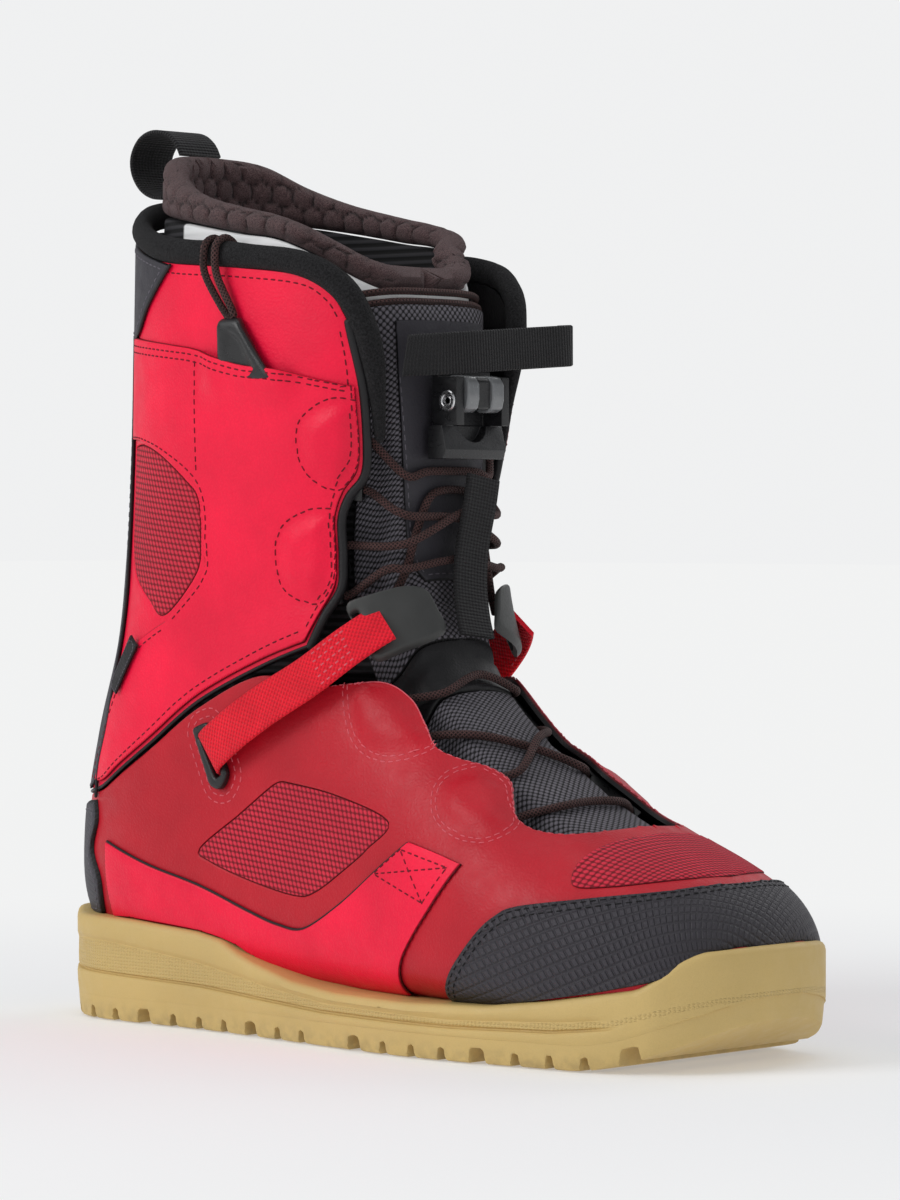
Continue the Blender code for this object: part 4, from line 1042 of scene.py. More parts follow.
UPPER_PODS = (
    ((3.4, 208.5), (-4, 209), (-13, 204), (-16, 198), (-15.5, 189), (-11, 183), (-4.5, 180.5), (1, 187.5),
     (3, 197)),
    ((-8, 173), (-15.5, 172.6), (-24.5, 168), (-28, 161), (-27.5, 151), (-23, 146), (-14, 143.5), (-9, 150),
     (-8, 160)),
)
LOWER_PODS = (
    ((0, 117), (3, 106), (8.5, 98.5), (19, 95), (29, 97), (33.5, 100), (28, 105), (21, 112.5), (12, 117.5)),
    ((51, 91.3), (45.5, 89), (43.5, 84), (47, 77), (56, 72.3), (66, 71.3), (71.5, 75), (65.5, 81.2),
     (59.5, 87)),
)


# between the edge of an opening in the leather and the mesh cloth in it
VENT_GAP = 0.06


def pod_loops(pods, side):
    return [side_places((*pod, pod[0]), side)[:-1] for pod in pods]


# stitched box with a cross on the rand: its corners in side view, and which of them each line joins
BOX = ((22, 57), (34, 65.2), (56, 60.4), (46.5, 49))
BOX_LINES = ((0, 1), (1, 2), (2, 3), (3, 0), (0, 2), (1, 3))


def round_back(run):
    """Places of a run that ends in the middle of the back, then of its mirror image on the medial side."""
    lateral = side_places(run, LATERAL)
    medial = side_places(run, MEDIAL, -2.0)
    lateral[-1, 1] = medial[-1, 1] = -1.0
    return lateral, medial


def lower_shell():
    throat, throat_medial = side_places(THROAT, LATERAL), side_places(THROAT, MEDIAL, -2.0)
    back, back_medial = round_back(THROAT_BACK)
    front = throat[0, 0]
    throat[0, 1], throat_medial[0] = 0.0, (front, -2.0)
    low = 0.2
    outline = np.concatenate([
        throat[:-1], back, back_medial[::-1][1:], throat_medial[::-1][1:-1],
        span((front, -2), (low, -2), 26), span((low, -2), (low, 0), 90), span((low, 0), (front, 0), 26),
    ])
    holes = [closed_outline((*SIDE_VENT, SIDE_VENT[0]), side=LATERAL)]
    medial = closed_outline((*SIDE_VENT, SIDE_VENT[0]), side=MEDIAL)
    holes.append(medial - (0, 2))
    pods = pod_loops(LOWER_PODS, LATERAL) + [loop - (0, 2) for loop in pod_loops(LOWER_PODS, MEDIAL)]
    shell = layer("lower_shell_leather", "dark_red", [outline, *holes], -2.4, 0, grid=3.0, rim=0.6,
                  shape=domes(*pods, high=1.9))
    stand_in(shell, "boot", "lower_shell")
    for side, name in SIDES:
        loop = holes[0] if side == LATERAL else medial
        vent = layer(f"side_vent_cloth_{name}", "red_mesh", [inset(loop, VENT_GAP)], -1.9, -0.1, grid=3.0,
                     rim=0.2)
        stand_in(vent, "boot", f"side_vent_{name}")
        own = pod_loops(LOWER_PODS, side)
        double = split_gaps([skin(outset(pod, d), 2.0) for pod in own for d in (0.9, 2.6)])
        sew(f"pod_stitches_{name}", "boot", "thread_pink", [shell], double, thick=0.4)
        edge = throat if side == LATERAL else throat_medial + (0, 2)
        edges = [skin(beside(edge[3:], 1.5 * side, closed=False), 1.0)]
        sew(f"throat_stitches_{name}", "boot", "thread_pink", [shell], edges, thick=0.4)


def rands():
    for side, name in SIDES:
        outline = closed_outline(RAND_TOP, RAND_TAB, RAND_FRONT, RIM_LOW, RAND_BACK, side=side)
        strip = layer(f"rand_leather_{name}", "bright_red", [outline], 0.12, 1.25, grid=2.6)
        stand_in(strip, "boot", f"rand_{name}")
        top = skin(side_places(RAND_TOP, side), 0.5)
        # thin black cord along the rand's top edge
        piping = sweep(f"rand_top_line_{name}", "black_leather", top[1:-1], circle(0.42, 8), ends=0.5)
        stand_in(piping, "boot")
        runs = [skin(side_places((BOX[start], BOX[end]), side), 1.5) for start, end in BOX_LINES]
        for run, trim in ((RAND_TOP, 3), (RAND_FRONT, 2)):
            places = beside(side_places(run, side), -1.9 * side, closed=False)
            runs.append(skin(places[trim:-trim], 1.5))
        sew(f"rand_stitches_{name}", "boot", "thread_dark", [strip], runs)


def toe():
    lateral, medial = side_places(CAP_EDGE, LATERAL), side_places(CAP_EDGE, MEDIAL)
    rim = ((151, 39.6), (143, 37), (137, 30.4), (120, 26), (98, 22.4), (75, 19.4), (52.5, 18.6))
    lateral_rim, medial_rim = side_places(rim, LATERAL), side_places(rim, MEDIAL)
    top = span(lateral[-1], medial[-1], 60)
    bottom = span(medial_rim[0], lateral_rim[0], 12)
    edge = np.concatenate([lateral[:-1], top, medial[::-1]])
    outline = np.concatenate([edge, medial_rim[::-1][1:], bottom[1:], lateral_rim[:-1]])
    cap = layer("toe_cap_leather", "toe_grey", [outline], 0.12, 1.5, grid=2.4, pattern="wrap")
    stand_in(cap, "boot", "toe_cap")
    rows = [skin(beside(edge, distance, closed=False)[3:-3], 1.8) for distance in (-1.5, -3.6)]
    sew("toe_stitches", "boot", "thread_black", [cap], rows)


def cuff():
    hem, hem_medial = round_back(HEM[::-1])
    collar, collar_medial = round_back(COLLAR)
    flap, flap_medial = side_places(FLAP, LATERAL), side_places(FLAP, MEDIAL, -2.0)
    outline = np.concatenate([hem[::-1][:-1], flap[:-1], collar, collar_medial[::-1][1:],
                              flap_medial[::-1][1:], hem_medial[1:-1]])
    vents = [closed_outline((*REAR_VENT, REAR_VENT[0]), side=side) for side, _ in SIDES]
    shell = layer("cuff_leather", "bright_red", [outline, vents[0], vents[1] - (0, 2)], -2.4, 0, grid=3.2)
    stand_in(shell, "cuff", "cuff_shell")
    for (side, name), vent in zip(SIDES, vents):
        cloth = layer(f"rear_vent_cloth_{name}", "red_mesh", [inset(vent, VENT_GAP)], -1.9, -0.1, grid=3.2,
                      rim=0.2)
        stand_in(cloth, "cuff", f"rear_vent_{name}")
        cuff_panel(side, name, shell)
    piping = np.concatenate([skin(hem[::-1], 0.2), skin(hem_medial[1:], 0.2)])
    stand_in(sweep("hem_piping", "black_leather", piping, circle(0.55, 8), ends=0.6), "cuff")
    for side, name in SIDES:
        edge = skin(side_places(FLAP, side), -0.6)
        stand_in(sweep(f"flap_piping_{name}", "black_leather", edge, circle(1.6, 10), ends=1.2), "cuff")


def pocket(out):
    """Height of the pocket's leather, which stands off the cuff where the puller is tucked in."""
    def height(station, turn):
        points = wall(station, turn)
        along = ramp(points[:, 0], -58, -47) * (1 - ramp(points[:, 0], -22, -12))
        return out + 3.0 * along * ramp(points[:, 2], 206, 219) * (1 - ramp(points[:, 2], 228, 234))
    return height


def cuff_panel(side, name, shell):
    outline = closed_outline(PANEL_FRONT, PANEL_TOP, PANEL_REAR, PANEL_VENT, PANEL_HEEL, PANEL_HEM, side=side)
    pods = pod_loops(UPPER_PODS, side)
    low = pocket(0.12) if side == LATERAL else 0.12
    high = pocket(1.25) if side == LATERAL else 1.25
    panel = layer(f"cuff_panel_leather_{name}", "bright_red", [outline], low, high, grid=2.6,
                  shape=domes(*pods, high=1.8))
    stand_in(panel, "cuff", f"cuff_panel_{name}")

    def row(run, distance, out=4.9):
        return skin(beside(side_places(run, side), -side * distance, closed=False)[2:-2], out)

    rows = [row(PANEL_TOP, 2.0), row(PANEL_TOP, 4.2), row(PANEL_VENT, 1.9), row(PANEL_HEEL, 1.9),
            row(PANEL_HEM, 2.6), row(PANEL_FRONT, 1.9)]
    rows.append(skin(side_places(((-58, 225), (-59.5, 188)), side), 4.9))
    rows += [skin(outset(pod, 0.9), 2.5) for pod in pods]
    sew(f"panel_stitches_{name}", "cuff", "thread_dark", [panel], split_gaps(rows))
    front = side_places(((4.5, 214), (4.6, 224), (3.4, 235)), side)
    top = [row(COLLAR, 3.4, 2.0), skin(beside(front, -side * 3.2, closed=False), 2.0)]
    sew(f"collar_stitches_{name}", "cuff", "thread_dark", [shell], split_gaps(top))


def back_outline(*runs):
    """Closed outline round the back, from lateral runs that start and end in the middle of the back."""
    halves = []
    for side, shift in ((LATERAL, 0.0), (MEDIAL, -2.0)):
        parts = [side_places(run, side, shift) for run in runs]
        half = np.concatenate([*(part[:-1] for part in parts), parts[-1][-1:]])
        half[0, 1] = half[-1, 1] = -1.0
        halves.append(half)
    return np.concatenate([halves[0], halves[1][::-1][1:-1]])


def toe_vent():
    front = ((130, 59.2), (124, 58.4), (113, 56.8), (103, 56.4), (99.6, 59), (98.3, 63.5), (99, 68),
             (101.5, 71.2))
    lateral, medial = side_places(front, LATERAL), side_places(front, MEDIAL)
    lateral[0, 1] = medial[0, 1] = lateral[-1, 1] = medial[-1, 1] = 0.0
    outline = np.concatenate([lateral, medial[::-1][1:-1]])
    cloth = layer("toe_vent_cloth", "red_mesh", [outline], 0.1, 0.55, grid=2.6, rim=0.3, pattern="wrap")
    stand_in(cloth, "boot", "toe_vent")


def heel_and_back():
    outline = back_outline(((-142.6, 36.4), (-135, 36), (-122, 36.2)),
                           ((-122, 36.2), (-120.6, 48), (-125.5, 58), (-121, 68), (-122.6, 75)),
                           ((-122.6, 75), (-132, 74.2), (-142.6, 73.6)))
    cup = layer("heel_cup", "heel_grey", [outline], 0.15, 1.9, grid=2.6, rim=0.8, pattern="wrap")
    stand_in(cup, "boot", "heel_counter")
    sew("heel_stitches", "boot", "thread_grey", [cup], lines([outline], 2.0, 2.5))
    front = ((-122.6, 76.5), (-121, 88), (-115, 104), (-110.5, 130), (-106.5, 156), (-105.6, 200),
             (-104.8, 231),
             (-100, 233.6), (-94, 236.4), (-87.3, 242.8), (-79, 249.6), (-70.5, 256.6))
    outline = back_outline(((-142.6, 79), (-133, 78.4), (-124.6, 81)), ((-124.6, 81), *front[1:]),
                           ((-70.5, 256.6), (-84, 260), (-97, 263.8), (-106, 267), (-115.2, 270)))
    stay = layer("back_stay_leather", "warm_grey", [outline], 0.15, 1.35, grid=3.0)
    stand_in(stay, "cuff", "back_stay")
    sew("back_stitches", "cuff", "thread_grey", [stay], lines([outline], 2.0, 2.5))
    for side, name in SIDES:
        edge = skin(side_places(front, side), 0.9)
        stand_in(sweep(f"back_piping_{name}", "black_leather", edge, circle(0.6, 8), ends=0.6), "cuff")
    stand_in(softened("back_tab_leather", "black_leather", "back_tab", bevel=0.3), "cuff")
    side_label()


def side_label():
    """Plain label that slants up the heel's lateral side."""
    low, high = np.array((-108, 114.5)), np.array((-94.5, 131))
    across = np.array((low[1] - high[1], high[0] - low[0])) / np.linalg.norm(high - low) * 2.9
    corners = [tuple(p) for p in (low - across, high - across, high + across, low + across)]
    outline = closed_outline(*((corners[i], corners[(i + 1) % 4]) for i in range(4)))
    label = layer("side_label_cloth", "black_leather", [outline], 2.1, 3.1, grid=2.0, rim=0.3)
    stand_in(label, "cuff", "side_label")
    sew("side_label_stitches", "cuff", "thread_grey", [label], lines([outline], 0.7, 3.2), pitch=1.6,
        length=1.1, thick=0.3)


def roll_line():
    """Middle of the collar roll, and the direction away from the wall there."""
    run = ((8.2, 200), (9, 212), (9.2, 225), (7.4, 237), (1.6, 248), (-12, 255.4), (-40, 259), (-74, 262),
           (-97, 268.5), (-112, 275))

    def lifted(out):
        lateral, medial = ([skin(side_places((point, point), side)[:1], out)[0] for point in run]
                           for side, _ in SIDES)
        return [*lateral, wall(18.22, 180, out)[0], *reversed(medial)]

    path = lifted(-0.9)
    return smooth(path, 2.0), directions(path, lifted(-0.9 + 3))


def directions(path, outer):
    """Unit directions from a smooth path to another, at the first one's points."""
    inner, away = smooth(path, 2.0), np.array(outer) - np.array(path)
    away /= np.linalg.norm(away, axis=1, keepdims=True)
    tree = tree_of(np.array(path))
    found = []
    for point in inner:
        near = tree.find_n(Vector(point), 2)
        weights = [1 / (item[2] + 0.01) for item in near]
        direction = sum(away[item[1]] * weight for item, weight in zip(near, weights))
        found.append(unit(direction))
    return np.array(found)


def collar():
    path, away = roll_line()
    section = circle(1.0, 20) * (4.3, 3.6)
    whole = np.linalg.norm(np.diff(path, axis=0), axis=1).sum()
    scales = (7, 11, 17, 29, 41, 4.3)
    puckers = list(zip(scales, np.random.default_rng(4).uniform(0, WHOLE_TURN, len(scales))))

    def relief(length, way):
        crease = sum(math.sin(length / scale + phase) for scale, phase in puckers)
        taper = 0.45 + 0.55 * ramp(min(length, whole - length), 0, 36)
        return taper * (1 + 0.016 * crease + 0.014 * np.sin(way * 1.1 + length / 5))

    roll = sweep("collar_fleece", "fleece_black", path, section, up=away, ends=3.0, relief=relief)
    stand_in(roll, "cuff", "collar_roll")


# --- tongue -----------------------------------------------------------------------------------------

def tongue_depth(station, turn):
    sunk = 5.2 + 6.0 * ramp(station, 12, 17)
    shoulder = 5.6 * ramp(np.abs(turn), 18, 34) * (1 - ramp(station, 13.5, 16.5))
    return sunk + shoulder


def fan_outline(corners):
    """Closed outline straight between corners given as station and turn."""
    places = []
    for start, end in zip(corners, (*corners[1:], corners[0])):
        ends = wall([start[0], end[0]], [start[1], end[1]])
        count = max(2, round(np.linalg.norm(ends[1] - ends[0]) / 1.4))
        part = np.arange(count) / count
        station = start[0] + (end[0] - start[0]) * part
        turn = start[1] + (end[1] - start[1]) * part
        places.append(place_of(station, turn))
    return np.concatenate(places)


def tongue_sheet(name, finish, corners, above, thick, **settings):
    """Sheet on the tongue from its corners, given as station and turn."""
    high = (lambda s, t: above - tongue_depth(s, t))
    low = (lambda s, t: above - thick - tongue_depth(s, t))
    return layer(name, finish, [fan_outline(corners)], low, high, pattern="wrap", **settings)


def across_tongue(low, high):
    """Corners of a sheet that spans the tongue's width between two stations."""
    return ((low, -45), (low, 45), (high, 45), (high, -45))


def creases(*stations, depth, width=0.12):
    """Shape with soft creases across the tongue."""
    def shape(places, at, edge):
        lift = np.zeros(len(places))
        for station in stations:
            lift -= depth * np.exp(-(((places[:, 0] - station) / width) ** 2))
        return lift * np.clip(edge / 2, 0, 1)
    return shape


def tongue():
    lower = tongue_sheet("tongue_lower_cloth", "tongue_mesh", across_tongue(3.6, 7.5), 0, 3.1,
                         shape=creases(5.2, 6.4, depth=0.5))
    stand_in(lower, "boot", "tongue_lower")
    flex = tongue_sheet("tongue_flex_leather", "black_leather", across_tongue(7.55, 8.65), 0.2, 3.1,
                        shape=creases(7.9, 8.3, depth=0.8, width=0.07))
    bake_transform(flex)
    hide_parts("tongue_flex")
    upper = tongue_sheet("tongue_upper_cloth", "tongue_mesh", across_tongue(8.7, 16.5), 0, 3.1,
                         shape=creases(9.6, 10.6, depth=0.6))
    stand_in(upper, "cuff", "tongue_upper")
    sides = ((10.0, 9), (10.35, 14), (11.2, 17), (13, 18.5), (16.2, 18.5))
    corners = ((10.0, -9), *sides, *((s, -t) for s, t in reversed(sides[1:])))
    overlay = tongue_sheet("tongue_overlay_leather", "warm_grey", corners, 1.15, 1.0, rim=0.4)
    stand_in(overlay, "cuff", "tongue_overlay")
    seam = skin(inset(fan_outline(corners), 1.6), -4)
    sew("tongue_stitches", "cuff", "thread_grey", [overlay], [seam], thick=0.4)
    trims = []
    for station, out in ((16.56, 0.2), (16.74, -0.5)):
        turns = np.arange(-45, 46, 3.0)
        line = wall(np.full(len(turns), station), turns, -tongue_depth(16.6, turns) - 1.6 + out)
        trims.append(sweep(f"trim_{station}", "brown", smooth(line, 2), circle(1.25, 10), ends=1.0))
    stand_in(join("tongue_piping", trims), "cuff", "tongue_trim")


# --- liner ------------------------------------------------------------------------------------------

def liner_depth(station, turn):
    """Outer face of the liner: behind the tongue in front, above the lasting board below."""
    side = 3.2 + 5.5 * ramp(station, 15.5, 18.5)
    front = tongue_depth(station, turn) + 4.1
    board = 2.6 * ramp(np.abs(turn), 112, 134) * (1 - ramp(station, 9.5, 11))
    toe_end = 0.8 * (1 - ramp(station, 0, 2))
    in_front = 1 - ramp(np.abs(turn), 56, 76)
    return side + board + toe_end + np.maximum(front - side, 0.0) * in_front


def sleeve_outline(top, bottom):
    """Outline of a sleeve from its top and bottom edges in side view, each from the front to the back."""
    edges = []
    for run in (top, bottom):
        lateral, medial = side_places(run, LATERAL), side_places(run, MEDIAL, -2.0)
        lateral[0, 1], medial[0, 1], medial[0, 0] = 0.0, -2.0, lateral[0, 0]
        lateral[-1, 1], medial[-1, 1] = -1.0, -1.0
        edges.append(np.concatenate([lateral, medial[::-1][1:]]))
    upper, lower = edges
    high, low = upper[0, 0], lower[0, 0]
    count = max(4, int((high - low) * 8))
    return np.concatenate([upper[:-1], span((high, -2), (low, -2), count), lower[::-1][:-1],
                           span((low, 0), (high, 0), count)])


LINER_TOP = ((15.3, 258.5), (0, 265), (-24, 272), (-45, 275.5), (-71, 280.5), (-91, 287), (-106, 295),
             (-115.4, 297.5))
COLLAR_LOW = ((15.9, 250.5), (0, 257), (-24, 264.5), (-45, 267), (-71, 270.5), (-91, 273), (-106, 275),
              (-115.9, 275))


def quilting(places, at, edge):
    """Shape of the plush's rows of quilted scales, with a groove round each."""
    width, height = 8.6, 6.8
    around = places[:, 1] * 165
    up = at[:, 2] + 0.12 * at[:, 0]
    gaps = []
    for row in (-1, 0, 1):
        level = np.round(up / height) + row
        offset = (level % 2) * width / 2
        for column in (-1, 0, 1):
            centre = (np.round((around - offset) / width) + column) * width + offset
            gaps.append(np.hypot(around - centre, (up - level * height) * 1.15))
    gaps = np.sort(gaps, axis=0)
    return 1.6 * (ramp(gaps[1] - gaps[0], -0.6, 2.6) - 0.75) * np.clip(edge / 1.2, 0.4, 1)


def liner():
    inner = (lambda s, t: -liner_depth(s, t) - 7.8)
    outer = (lambda s, t: -liner_depth(s, t))
    band = sleeve_outline(LINER_TOP, COLLAR_LOW)
    proud = (lambda s, t: 0.6 - liner_depth(s, t))
    plush = layer("liner_plush", "fleece_brown", [band], inner, proud, grid=1.15, both=True, shape=quilting,
                  rings=(0.3, 0.9, 1.7, 2.6, 3.5), rim=4.0, pattern="wrap")
    stand_in(plush, "cuff", "liner_collar")
    low = ((18.8, 134.5), (0, 130), (-30, 122.5), (-42, 120), (-65, 109.8), (-88, 95.8), (-118, 80.2),
           (-142.4, 77.4))
    top = [(x, z - 0.5) for x, z in COLLAR_LOW]
    outline = sleeve_outline(top, low)
    cuff_part = layer("liner_cuff_cloth", "liner_foam", [outline], inner, outer, grid=4.0, rim=1.2)
    stand_in(cuff_part, "cuff", "liner_cuff")
    high = ((38, 96.5), (30, 96.5), (0, 103), (-25, 112), (-45, 115.5), (-65, 108), (-88, 94), (-118, 78.6),
            (-142.2, 76))
    edge = side_places(high, LATERAL), side_places(high, MEDIAL, -2.0)
    front = edge[0][0, 0]
    edge[0][0, 1], edge[1][0] = 0.0, (front, -2.0)
    edge[0][-1, 1] = edge[1][-1, 1] = -1.0
    outline = np.concatenate([edge[0], edge[1][::-1][1:-1], span((front, -2), (0.6, -2), 30),
                              span((0.6, -2), (0.6, 0), 90), span((0.6, 0), (front, 0), 30)])
    foot = layer("liner_foot_cloth", "liner_foam", [outline], inner, outer, grid=5.0, rim=1.2)
    stand_in(foot, "boot", "liner_foot")
    gusset()
    stand_in(softened("footbed_foam", "foam", "footbed", bevel=0.8), "boot")
    stand_in(softened("lasting_board_sheet", "board", "lasting_board", bevel=0.3), "boot")
    stand_in(softened("heel_cushion_foam", "foam", "heel_cushion", bevel=0.4), "boot")
    liner_loop()


def liner_loop():
    """Webbing loop at the back of the liner."""
    path = smooth([(x, 0, z) for x, z in (
        (-112.2, 283.4), (-119, 283.6), (-125, 286.5), (-129, 292), (-129.5, 298), (-126, 303.5), (-120, 306),
        (-113, 305.2), (-108, 301.8), (-105.5, 297.6))], 1.5)
    loop = sweep("liner_loop_webbing", "black_webbing", path, strap_section(20), up=across_y(path))
    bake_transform(loop)
    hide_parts("liner_pull_loop")


def gusset():
    """Thin stretch lining behind the liner's split at the heel, to close the gap when the cuff flexes."""
    outline = back_outline(((-142.4, 64), (-118, 67), (-88, 82), (-62, 96)), ((-62, 96), (-50, 115)),
                           ((-50, 115), (-62, 124), (-88, 113), (-118, 98), (-138, 94)))
    inner = (lambda s, t: -liner_depth(s, t) - 8.6)
    outer = (lambda s, t: -liner_depth(s, t) - 8.0)
    lining = layer("heel_gusset", "liner_foam", [outline], inner, outer, grid=4.0, rim=0.2)
    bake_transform(lining)


def across_y(path):
    """Normals that turn a strap's width along Y."""
    ahead = np.gradient(path, axis=0)
    return np.cross((0, 1, 0), ahead)


# --- lacing -----------------------------------------------------------------------------------------

UPPER_GUIDES = (((3.5, 200), (1, 184)), ((-7, 166), (-7, 150)))
LOWER_GUIDES = (((15, 114.5), (27, 103.5)), ((50, 91.5), (65, 80)))
GUIDE_DEPTH = 6.4


def on_side(x, z, side, out=0.0):
    station, turn = turn_at(np.array([float(x)]), np.array([float(z)]))
    return wall(station, turn * side, out)[0]


def guide_frame(ends, side):
    """Middle of a guide, its directions along the flap, off the tongue and outwards, and its half size."""
    top, foot = (on_side(x, z, side, -GUIDE_DEPTH) for x, z in ends)
    middle, along = (top + foot) / 2, unit(foot - top)
    (top_x, top_z), (foot_x, foot_z) = ends
    rise, run = top_z - foot_z, foot_x - top_x
    size = math.hypot(rise, run)
    behind_x, behind_z = (top_x + foot_x) / 2 - 9 * rise / size, (top_z + foot_z) / 2 - 9 * run / size
    away = on_side(behind_x, behind_z, side, -GUIDE_DEPTH) - middle
    away = unit(away - along * away.dot(along))
    return middle, along, away, np.cross(along, away) * -side, np.linalg.norm(foot - top) / 2


def guide_arc(ends, side):
    middle, along, away, _, half = guide_frame(ends, side)
    angles = np.radians(range(0, 181, 36))[:, None]
    return list(middle - along * half * np.cos(angles) + away * half * 0.8 * np.sin(angles))


def lead_in(ends, side, which):
    middle, along, away, _, half = guide_frame(ends, side)
    return middle + along * (-1 if which == "top" else 1) * half - away * 4.0


def over_tongue(station, turn, lift=0.0):
    """Middle of a lace that lies on the tongue, or that much higher."""
    return wall(station, turn, 1.8 + lift - tongue_depth(station, turn))[0]


def lace_loop(upper, lower, crossings):
    """Closed loop of lace through two pairs of guides, with the points where it crosses the tongue."""
    top_run, cross_one, bottom_run, cross_two = crossings
    loop = guide_arc(upper, LATERAL)[::-1] + [lead_in(upper, LATERAL, "top")] + top_run
    loop += [lead_in(upper, MEDIAL, "top")] + guide_arc(upper, MEDIAL) + [lead_in(upper, MEDIAL, "foot")]
    loop += cross_one + [lead_in(lower, LATERAL, "top")] + guide_arc(lower, LATERAL)
    loop += [lead_in(lower, LATERAL, "foot")] + bottom_run + [lead_in(lower, MEDIAL, "foot")]
    loop += guide_arc(lower, MEDIAL)[::-1] + [lead_in(lower, MEDIAL, "top")] + cross_two
    loop += [lead_in(upper, LATERAL, "foot")]
    return smooth(loop, 1.6, cyclic=True)


def laces():
    upper = lace_loop(*UPPER_GUIDES, (
        [over_tongue(12.5, a, 2.0) for a in (-18, -6, 6, 18)],
        [over_tongue(11.4, 20, 5.9), over_tongue(11.1, 0, 8.9), over_tongue(10.7, -20, 5.9)],
        [wall(10.4, -30, 1.2)[0], *(over_tongue(10.15, a, 5.2) for a in (-20, 0, 20)),
         wall(10.4, 30, 1.2)[0]],
        [over_tongue(10.7, 20, 5.9), over_tongue(11.1, 0, 5.6), over_tongue(11.4, -20, 5.9)],
    ))
    lower = lace_loop(*LOWER_GUIDES, (
        [over_tongue(7.5, -18, 0.4), over_tongue(7.7, 0, 0.8), over_tongue(7.5, 18, 0.4)],
        [over_tongue(6.5, 16, 0.4), over_tongue(6.05, 0, 3.8), over_tongue(5.7, -13, 0.4)],
        [over_tongue(4.9, a, 0.2) for a in (-13, 0, 13)],
        [over_tongue(5.7, 13, 0.4), over_tongue(6.05, 0, 0.3), over_tongue(6.5, -16, 0.4)],
    ))
    for zone, body, path in (("upper", "cuff", upper), ("lower", "boot", lower)):
        lace = sweep(f"{zone}_lace_braid", "brown", path, circle(1.4, 10), cyclic=True)
        stand_in(lace, body, f"{zone}_lace")
    half = [wall(9.6, 34, -1.5)[0], wall(9.9, 28, -2.2)[0]]
    half += [over_tongue(s, t, 1.8) for s, t in ((10.3, 20), (11.1, 13), (11.8, 7), (12.0, 2))]
    mirrored = [point * (1, -1, 1) for point in half]
    path = smooth([*mirrored, *reversed(half)], 1.6)
    stand_in(sweep("plate_lace_braid", "brown", path, circle(1.4, 10), ends=0.5), "cuff", "plate_lace")


def disc(name, finish, middle, axis, profile):
    """Turned piece from a profile of radius and height along an axis."""
    sides = 28
    side = unit(np.cross(axis, (0.3, 0.2, 0.9)))
    other = np.cross(axis, side)
    angles = WHOLE_TURN * np.arange(sides) / sides
    ring = np.cos(angles)[:, None] * side + np.sin(angles)[:, None] * other
    points = np.concatenate([middle + axis * height + ring * radius for radius, height in profile])
    faces = [tuple(range(sides)), tuple(range((len(profile) - 1) * sides, len(profile) * sides))]
    for row in range(len(profile) - 1):
        for step in range(sides):
            wrap = (step + 1) % sides
            a, b = row * sides, (row + 1) * sides
            faces.append((a + step, a + wrap, b + wrap, b + step))
    return finished(name, points, faces, finish, sharp=40)


# radius and height of the guides' round bosses
GUIDE_BOSS = ((5.6, 2.75), (5.6, 3.2), (5.2, 3.5), (4.6, 3.5), (4.3, 3.2), (4.0, 3.15), (1.2, 3.4),
              (0.3, 3.45))


def guides():
    for zone, body, pairs in (("upper", "cuff", UPPER_GUIDES), ("lower", "boot", LOWER_GUIDES)):
        for side, name in SIDES:
            for level, ends in zip(("top", "foot"), pairs):
                label = f"{zone}_guide_{name}_{level}"
                block = softened(label + "_block", "guide_plastic", label, bevel=0.7, segments=3)
                stand_in(block, body)
                middle, _, away, out, _ = guide_frame(ends, side)
                boss = disc(label + "_boss", "guide_plastic", middle + away * 3.0, out, GUIDE_BOSS)
                stand_in(boss, body)


# --- straps -----------------------------------------------------------------------------------------

def pull_webbing():
    # station, distance out from the wall, place across the boot
    spots = ((11.85, 8.8, 6.4), (11.1, 8.8, 4.8), (10.2, 6.8, 2.6), (9.4, 5.4, 0.8), (8.6, 5.6, -0.8),
             (8.05, 6.0, -1.8))
    path = smooth([wall(station, 0, out)[0] + (0, y, 0) for station, out, y in spots], 1.5)
    strap = sweep("pull_webbing_strap", "black_webbing", path, strap_section(16), up=across_y(path))
    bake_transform(strap)
    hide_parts("pull_webbing")


def ankle_straps():
    for side, name in SIDES:
        run = smooth(((-58.2, 92.7), (-52, 96.8), (-33, 107.6), (-14, 117.2), (0, 126.8), (9.6, 134)), 1.6)
        station, turn = turn_at(run[:, 0], run[:, 1])
        way = np.linspace(0, 1, len(run))
        out = np.interp(way, (0, 0.03, 0.07, 0.14, 0.25, 1), (1.2, 3.3, 4.3, 5.1, 5.85, 5.85))
        path = wall(station, turn * side, out)
        up = wall(station, turn * side, out + 1) - path
        strap = sweep(f"ankle_strap_webbing_{name}", "red_webbing", path, strap_section(15.4), up=up)
        sewn = slice(int(len(way) * 0.66), int(len(way) * 0.86))
        places = place_of(station[sewn], turn[sewn] * side)
        start, end = on_side(-45, 100, side) * MM, on_side(-2, 130, side) * MM
        tacks = [skin(beside(places, offset, closed=False), 7.0) for offset in (-6, -3, 0, 3, 6)]
        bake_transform(strap)
        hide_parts(f"ankle_strap_{name}")
        sew(f"strap_tacks_{name}", "cuff", "thread_pink", [strap], tacks, pitch=2.6, length=1.6, thick=0.6)
        plate_and_keeper(side, name)


